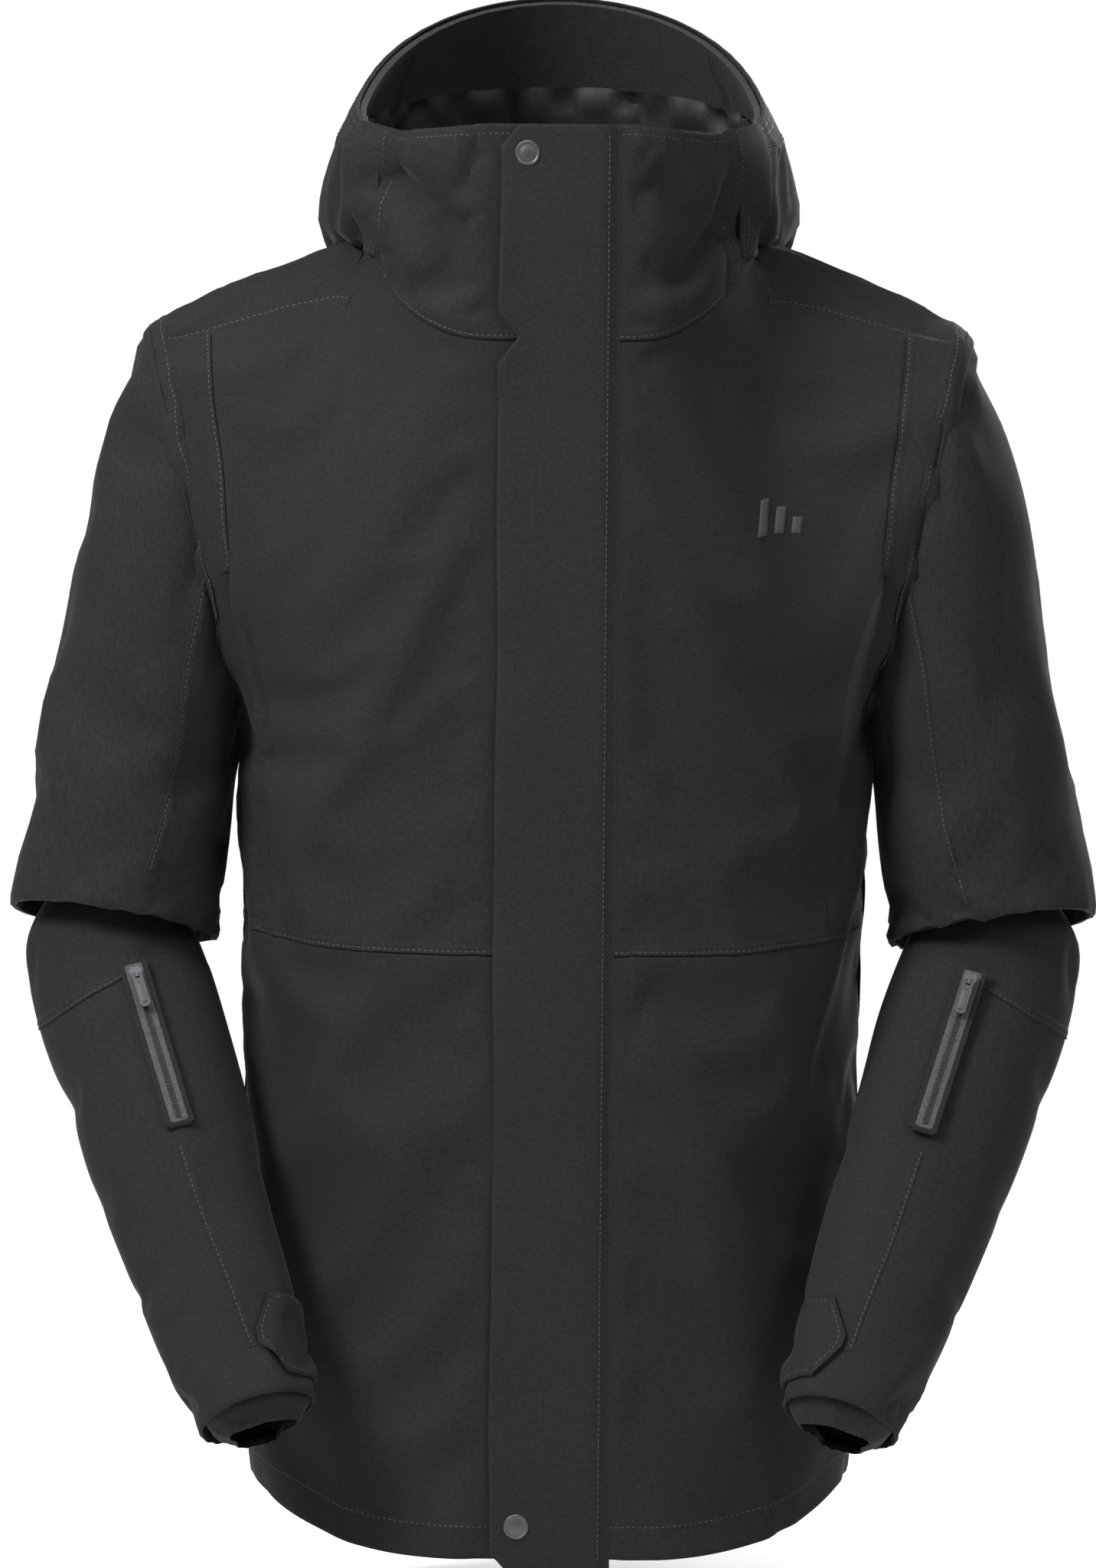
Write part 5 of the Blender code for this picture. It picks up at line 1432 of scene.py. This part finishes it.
def make_snap(place, level, high):
    """A domed snap cap with a rolled rim, its ring socket behind the flap, and its stud on the shell."""
    seat = STRIP_BASE + STRIP_ACROSS * SNAP_X + STRIP_UP * level
    r, low = SNAP_RADIUS, FLAP_INNER
    cap = [(0.0005, -0.0001), (r - 0.0004, -0.0001), (r, 0.0003), (r + 0.0001, 0.0010), (r - 0.0004, 0.0015),
           (r - 0.0011, 0.0016), (r - 0.0016, 0.0013), (r - 0.0024, 0.0013), (r - 0.0036, 0.0017),
           (r - 0.0055, 0.0020), (0.0, 0.0021)]
    ring = [(0.0032, 0.0), (0.0032, -0.0009), (0.0038, -0.0011), (0.0056, -0.0011), (0.0061, -0.0006),
            (0.0061, 0.0), (0.0032, 0.0)]
    stud = [(0.0058, 0.0001), (0.0056, 0.0005), (0.0030, 0.0006), (0.0026, 0.0009), (0.0027, 0.0012),
            (0.0, 0.0013)]
    for node, ending, profile, foot, body_name in (("snap_cap", "dome", cap, high, "storm_flap"),
                                                   ("snap_socket", "ring", ring, low, "storm_flap"),
                                                   ("snap_stud", "post", stud, SHELL, "shell")):
        raised = [(x, foot + z) for x, z in profile]
        turned = lathe(f"{node}_{place}_{ending}", raised, seat, STRIP_OUT, METAL)
        part(turned, body_name, [f"{node}_{place}"])


def make_closure():
    """Zip tapes, coil, facings, wind flap, slider and puller."""
    for tag, side in SIDES:
        tape = flat_strip(f"zip_tape_{tag}_cloth", STRIP_FRAME, sorted((side * 0.0026, side * 0.0145)),
                          (-0.786, 0.070), (-0.0024, -0.0014), TAPE)
        part(tape, "shell", [f"zip_tape_{tag}"])
        facing = flat_strip(f"facing_{tag}_cloth", STRIP_FRAME, sorted((side * 0.0140, side * 0.0410)),
                            (-0.782, -0.066), (-0.0014, -0.0004), FACING_FABRIC)
        part(facing, "shell", [f"facing_{tag}"])
    low, high = MAIN_ZIP_SPAN
    foot = STRIP_BASE + STRIP_UP * low
    verts, faces = teeth((foot, *STRIP_FRAME[1:]), high - low, 0.0020, 0.0026, -0.0022, -0.0007)
    part(add_mesh("zip_coil_turns", verts, faces, verts[:, [0, 2]], COIL), "shell", ["zip_coil"])
    wind = flat_strip("wind_flap_cloth", STRIP_FRAME, (-0.030, 0.026), (-0.782, 0.066), (-0.0062, -0.0045),
                      LINING, lambda x, h: 0.0004 * np.sin(h * 60) + 0.0003 * np.sin(h * 140 + x * 60))
    part(wind, "shell", ["wind_flap"])
    hard_node("main_slider", METAL)
    hard_node("main_puller", RUBBER)


# ---- hood -----------------------------------------------------------------------------------------
def make_hood():
    """Hood panels, double-stitched brim, facing, crumpled lining and neck gusset."""
    for name, f_edges, t_edges in (("hood_centre", (-HOOD_PART, HOOD_PART), (0.0, HOOD_BRIM)),
                                   ("hood_side_L", (HOOD_PART, 1.0), (0.0, HOOD_BRIM)),
                                   ("hood_side_R", (-1.0, -HOOD_PART), (0.0, HOOD_BRIM)),
                                   ("hood_brim", (-1.0, 1.0), (HOOD_BRIM, 1.0))):
        cloth_panel(name, HOOD, f_edges, t_edges, "hood", 0.3)
    part(panel("hood_facing_cloth", HOOD, (-0.985, 0.985), (0.888, 0.998), (-0.0050, -0.0008), FACING_FABRIC,
               0.006), "hood", ["hood_facing"])
    part(panel("hood_lining_cloth", HOOD_INSIDE, HOOD_LINING_F, HOOD_LINING_T, (-0.0010, 0.0), LINING,
               0.0040), "hood", ["hood_lining"])
    strips = Strips()
    t = np.linspace(0.02, HOOD_BRIM, 40)
    for way in (1, -1):
        strips.seam(HOOD, way * HOOD_PART, t, side=way, profile=LAP)
    f = np.linspace(-0.995, 0.995, 130)
    strips.seam(HOOD, f, HOOD_BRIM, side=-1, profile=LAP)
    strips.seam(HOOD, f, 0.965, rows=(0.0, 0.005))
    strips.seam(HOOD, f, 0.02, profile=LOW_LAP)
    for way in (1, -1):
        strips.seam(HOOD, way * 0.975, np.linspace(0.02, 0.98, 40), side=way, profile=LOW_LAP)
    for part_line in (-0.33, 0.33):
        strips.seam(HOOD, part_line, np.linspace(0.89, 0.985, 20), depth=-0.0058, rows=(0.0, 0.004))
    sewn(strips, "hood", body_name="hood")
    make_gusset()


def make_gusset():
    """Cloth ring joining the neck to the hood."""
    f, b = np.meshgrid(np.linspace(-0.98, 0.98, 91), np.linspace(0, 1, 9), indexing="ij")
    rim = hood(f, np.full_like(f, 0.05))
    foot = rim * np.array((0.955, 1.0, 1.0)) + np.array((0.0, -0.003, 0.0))
    foot[..., 2] = GUSSET_FOOT_Z
    inward = unit(points(-np.sin(f * HOOD_ARC), -np.cos(f * HOOD_ARC), 0.0))
    pts = foot + (rim - foot) * b[..., None] + inward * 0.004
    uv = np.stack([f * 0.25, b * 0.03], axis=-1)
    obj = shell_mesh("neck_gusset_cloth", pts, pts + inward * 0.0012, uv, LINING)
    part(obj)
    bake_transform(obj)


# ---- skirt, loop and mark -------------------------------------------------------------------------
def make_skirt():
    """Powder skirt with its elastic edge and back snap."""
    def ring(u, v):
        pts = body(u, v)
        centre = np.array((0.0, SIDE_Y, 0.0))
        away = unit((pts - centre) * np.array((1.0, 1.0, 0.0)))
        fold = 0.0030 * np.sin(u * 46) * np.clip((0.30 - v) / 0.18, 0, 1)
        return pts - away * (0.0125 - fold)[..., None]

    skin = Skin(ring, (0.30, 3.70), (0.05, 0.32))
    skirt = panel("powder_skirt_cloth", skin, (0.32, 3.68), (0.105, 0.30), (-0.0012, 0.0), LINING, 0.005)
    part(skirt, "shell", ["powder_skirt"])
    band = panel("skirt_elastic_band", skin, (0.34, 3.66), (0.080, 0.118), (-0.0036, -0.0012), WEBBING, 0.004)
    part(band, "shell", ["skirt_elastic"])
    hard_node("skirt_snap", METAL)


def make_loop():
    """Hanger loop at the back of the neck."""
    along = np.linspace(-1, 1, 61)
    mid = points(0.034 * along, 0.0, -0.010 * along ** 4)
    slope = unit(np.gradient(mid, axis=0))
    up = np.cross(slope, np.array((0.0, 1.0, 0.0)))
    b = np.array((-1.0, -0.9, -0.7, -0.3, 0.3, 0.7, 0.9, 1.0))
    grid = mid[:, None] + up[:, None] * (b * 0.0035)[None, :, None]
    thick = (0.0006 - 0.0003 * np.abs(b) ** 6)[None, :, None] * np.array((0.0, 1.0, 0.0))
    uv = np.stack(np.meshgrid(along * 0.036, b * 0.0035, indexing="ij"), axis=-1)
    obj = shell_mesh("hanger_loop_band", grid - thick, grid + thick, uv, WEBBING)
    part(obj, "shell", ["hanger_loop"])
    strips = Strips()
    for end in (-1, 1):
        line = points(end * 0.0325, -0.0007, np.linspace(-0.013, -0.006, 12))
        strips.row_of(line, np.tile((0.0, -1.0, 0.0), (12, 1)), LOOP_STITCH)
    sewn(strips, "hanger_loop", WEBBING)


def make_mark():
    """A small raised mark of three slanted bars on the left chest."""
    skin = FRONT["L"]
    cloth = hard_finish("raised_mark", (0.0108, 0.0108, 0.0113), 0.7)
    verts, faces = [], []
    nu, nv = 7, 15
    a, b = np.meshgrid(np.linspace(0, 1, nu), np.linspace(0, 1, nv), indexing="ij")
    number = np.arange(nu * nv).reshape(nu, nv)
    ring = np.concatenate([number[:-1, 0], number[-1, :-1], number[:0:-1, -1], number[0, :0:-1]])
    after = np.roll(ring, -1)
    walls = np.stack([ring, ring + nu * nv, after + nu * nv, after], axis=-1)
    round_ = 0.0006 * np.maximum(np.abs(2 * a - 1) ** 6, np.abs(2 * b - 1) ** 14)
    for bar, (u0, height) in enumerate(((0.490, 1.0), (0.545, 0.72), (0.600, 0.44))):
        v = 1.438 + 0.066 * height * b
        u = u0 + 0.030 * a + 0.020 * b * height
        top = skin.at(u, v, SHELL + 0.0009 - round_)
        foot = skin.at(u, v, SHELL - 0.0004)
        verts.append(np.concatenate([top.reshape(-1, 3), foot.reshape(-1, 3)]))
        faces += [grid_faces(nu, nv) + bar * 2 * nu * nv, walls + bar * 2 * nu * nv]
    verts, faces = np.concatenate(verts), np.concatenate(faces)
    obj = add_mesh("chest_mark_bars", verts, faces, verts[:, [0, 2]], cloth)
    part(obj, "shell", ["chest_mark"])


# ---- picture --------------------------------------------------------------------------------------
def make_stage():
    """A pale round floor under the jacket."""
    count = 96
    turn = np.arange(count) * 2 * math.pi / count
    ring = points(FLOOR_RADIUS * np.cos(turn), FLOOR_RADIUS * np.sin(turn) - 0.1, FLOOR_Z)
    verts = np.concatenate([ring, points(0.0, -0.1, FLOOR_Z)[None]])
    faces = [(k, (k + 1) % count, count) for k in range(count)]
    f = Finish("studio_paper")
    place = f.node("ShaderNodeTexCoord").outputs["Object"]
    grain = f.noise(place, 900.0)
    f.colour((0.86, 0.86, 0.865), f.maths("ADD", f.maths("MULTIPLY", grain, 0.04), 0.98))
    f.shader.inputs["Roughness"].default_value = 0.9
    floor = add_mesh("studio_floor", verts, faces, verts[:, :2], f.material)


def add_light(name, place, target, size, power):
    """A soft rectangular light aimed at a point."""
    data = bpy.data.lights.new(name, "AREA")
    data.shape = "RECTANGLE"
    data.size, data.size_y = size
    data.energy = power
    obj = bpy.data.objects.new(name, data)
    obj.location = place
    obj.rotation_euler = (Vector(target) - Vector(place)).to_track_quat("-Z", "Y").to_euler()
    bpy.context.scene.collection.objects.link(obj)


def make_picture():
    """World, lights and camera."""
    world = bpy.data.worlds.new("studio")
    world.use_nodes = True
    tree = world.node_tree
    glow = tree.nodes["Background"]
    glow.inputs["Strength"].default_value = 0.30
    white = tree.nodes.new("ShaderNodeBackground")
    white.inputs["Strength"].default_value = 1.0
    for each in (glow, white):
        each.inputs["Color"].default_value = (1.0, 1.0, 1.0, 1.0)
    either = tree.nodes.new("ShaderNodeMixShader")
    rays = tree.nodes.new("ShaderNodeLightPath")
    tree.links.new(rays.outputs["Is Camera Ray"], either.inputs[0])
    tree.links.new(glow.outputs[0], either.inputs[1])
    tree.links.new(white.outputs[0], either.inputs[2])
    tree.links.new(either.outputs[0], tree.nodes["World Output"].inputs["Surface"])
    scene = bpy.context.scene
    scene.world = world
    scene.view_settings.view_transform = "Standard"
    for light in LIGHTS:
        add_light(*light)
    data = bpy.data.cameras.new("camera")
    camera = bpy.data.objects.new("camera", data)
    scene.collection.objects.link(camera)
    scene.camera = camera
    back_way = Vector((0.0, -math.cos(CAMERA_TILT), math.sin(CAMERA_TILT)))
    camera.location = CAMERA_TARGET + back_way * CAMERA_DISTANCE
    aim = (-back_way).to_track_quat("-Z", "Y")
    camera.rotation_euler = (aim.to_matrix() @ Matrix.Rotation(CAMERA_ROLL, 3, "Z")).to_euler()
    data.sensor_width = 36.0
    data.lens = data.sensor_width * CAMERA_DISTANCE / PICTURE_WIDTH
    data.dof.use_dof = False
    data.clip_end = 50.0


for tag, side in SIDES:
    make_front(tag, side)
    make_collar(tag, side)
    make_armhole(tag, side)
    make_hood_join(tag, side)
    make_sleeve(tag, side)
    make_cuff_tab(tag, side)
    make_sleeve_pocket(tag, side)
make_back()
make_storm_flap()
make_closure()
make_hood()
make_skirt()
make_loop()
make_mark()
make_stage()
make_picture()
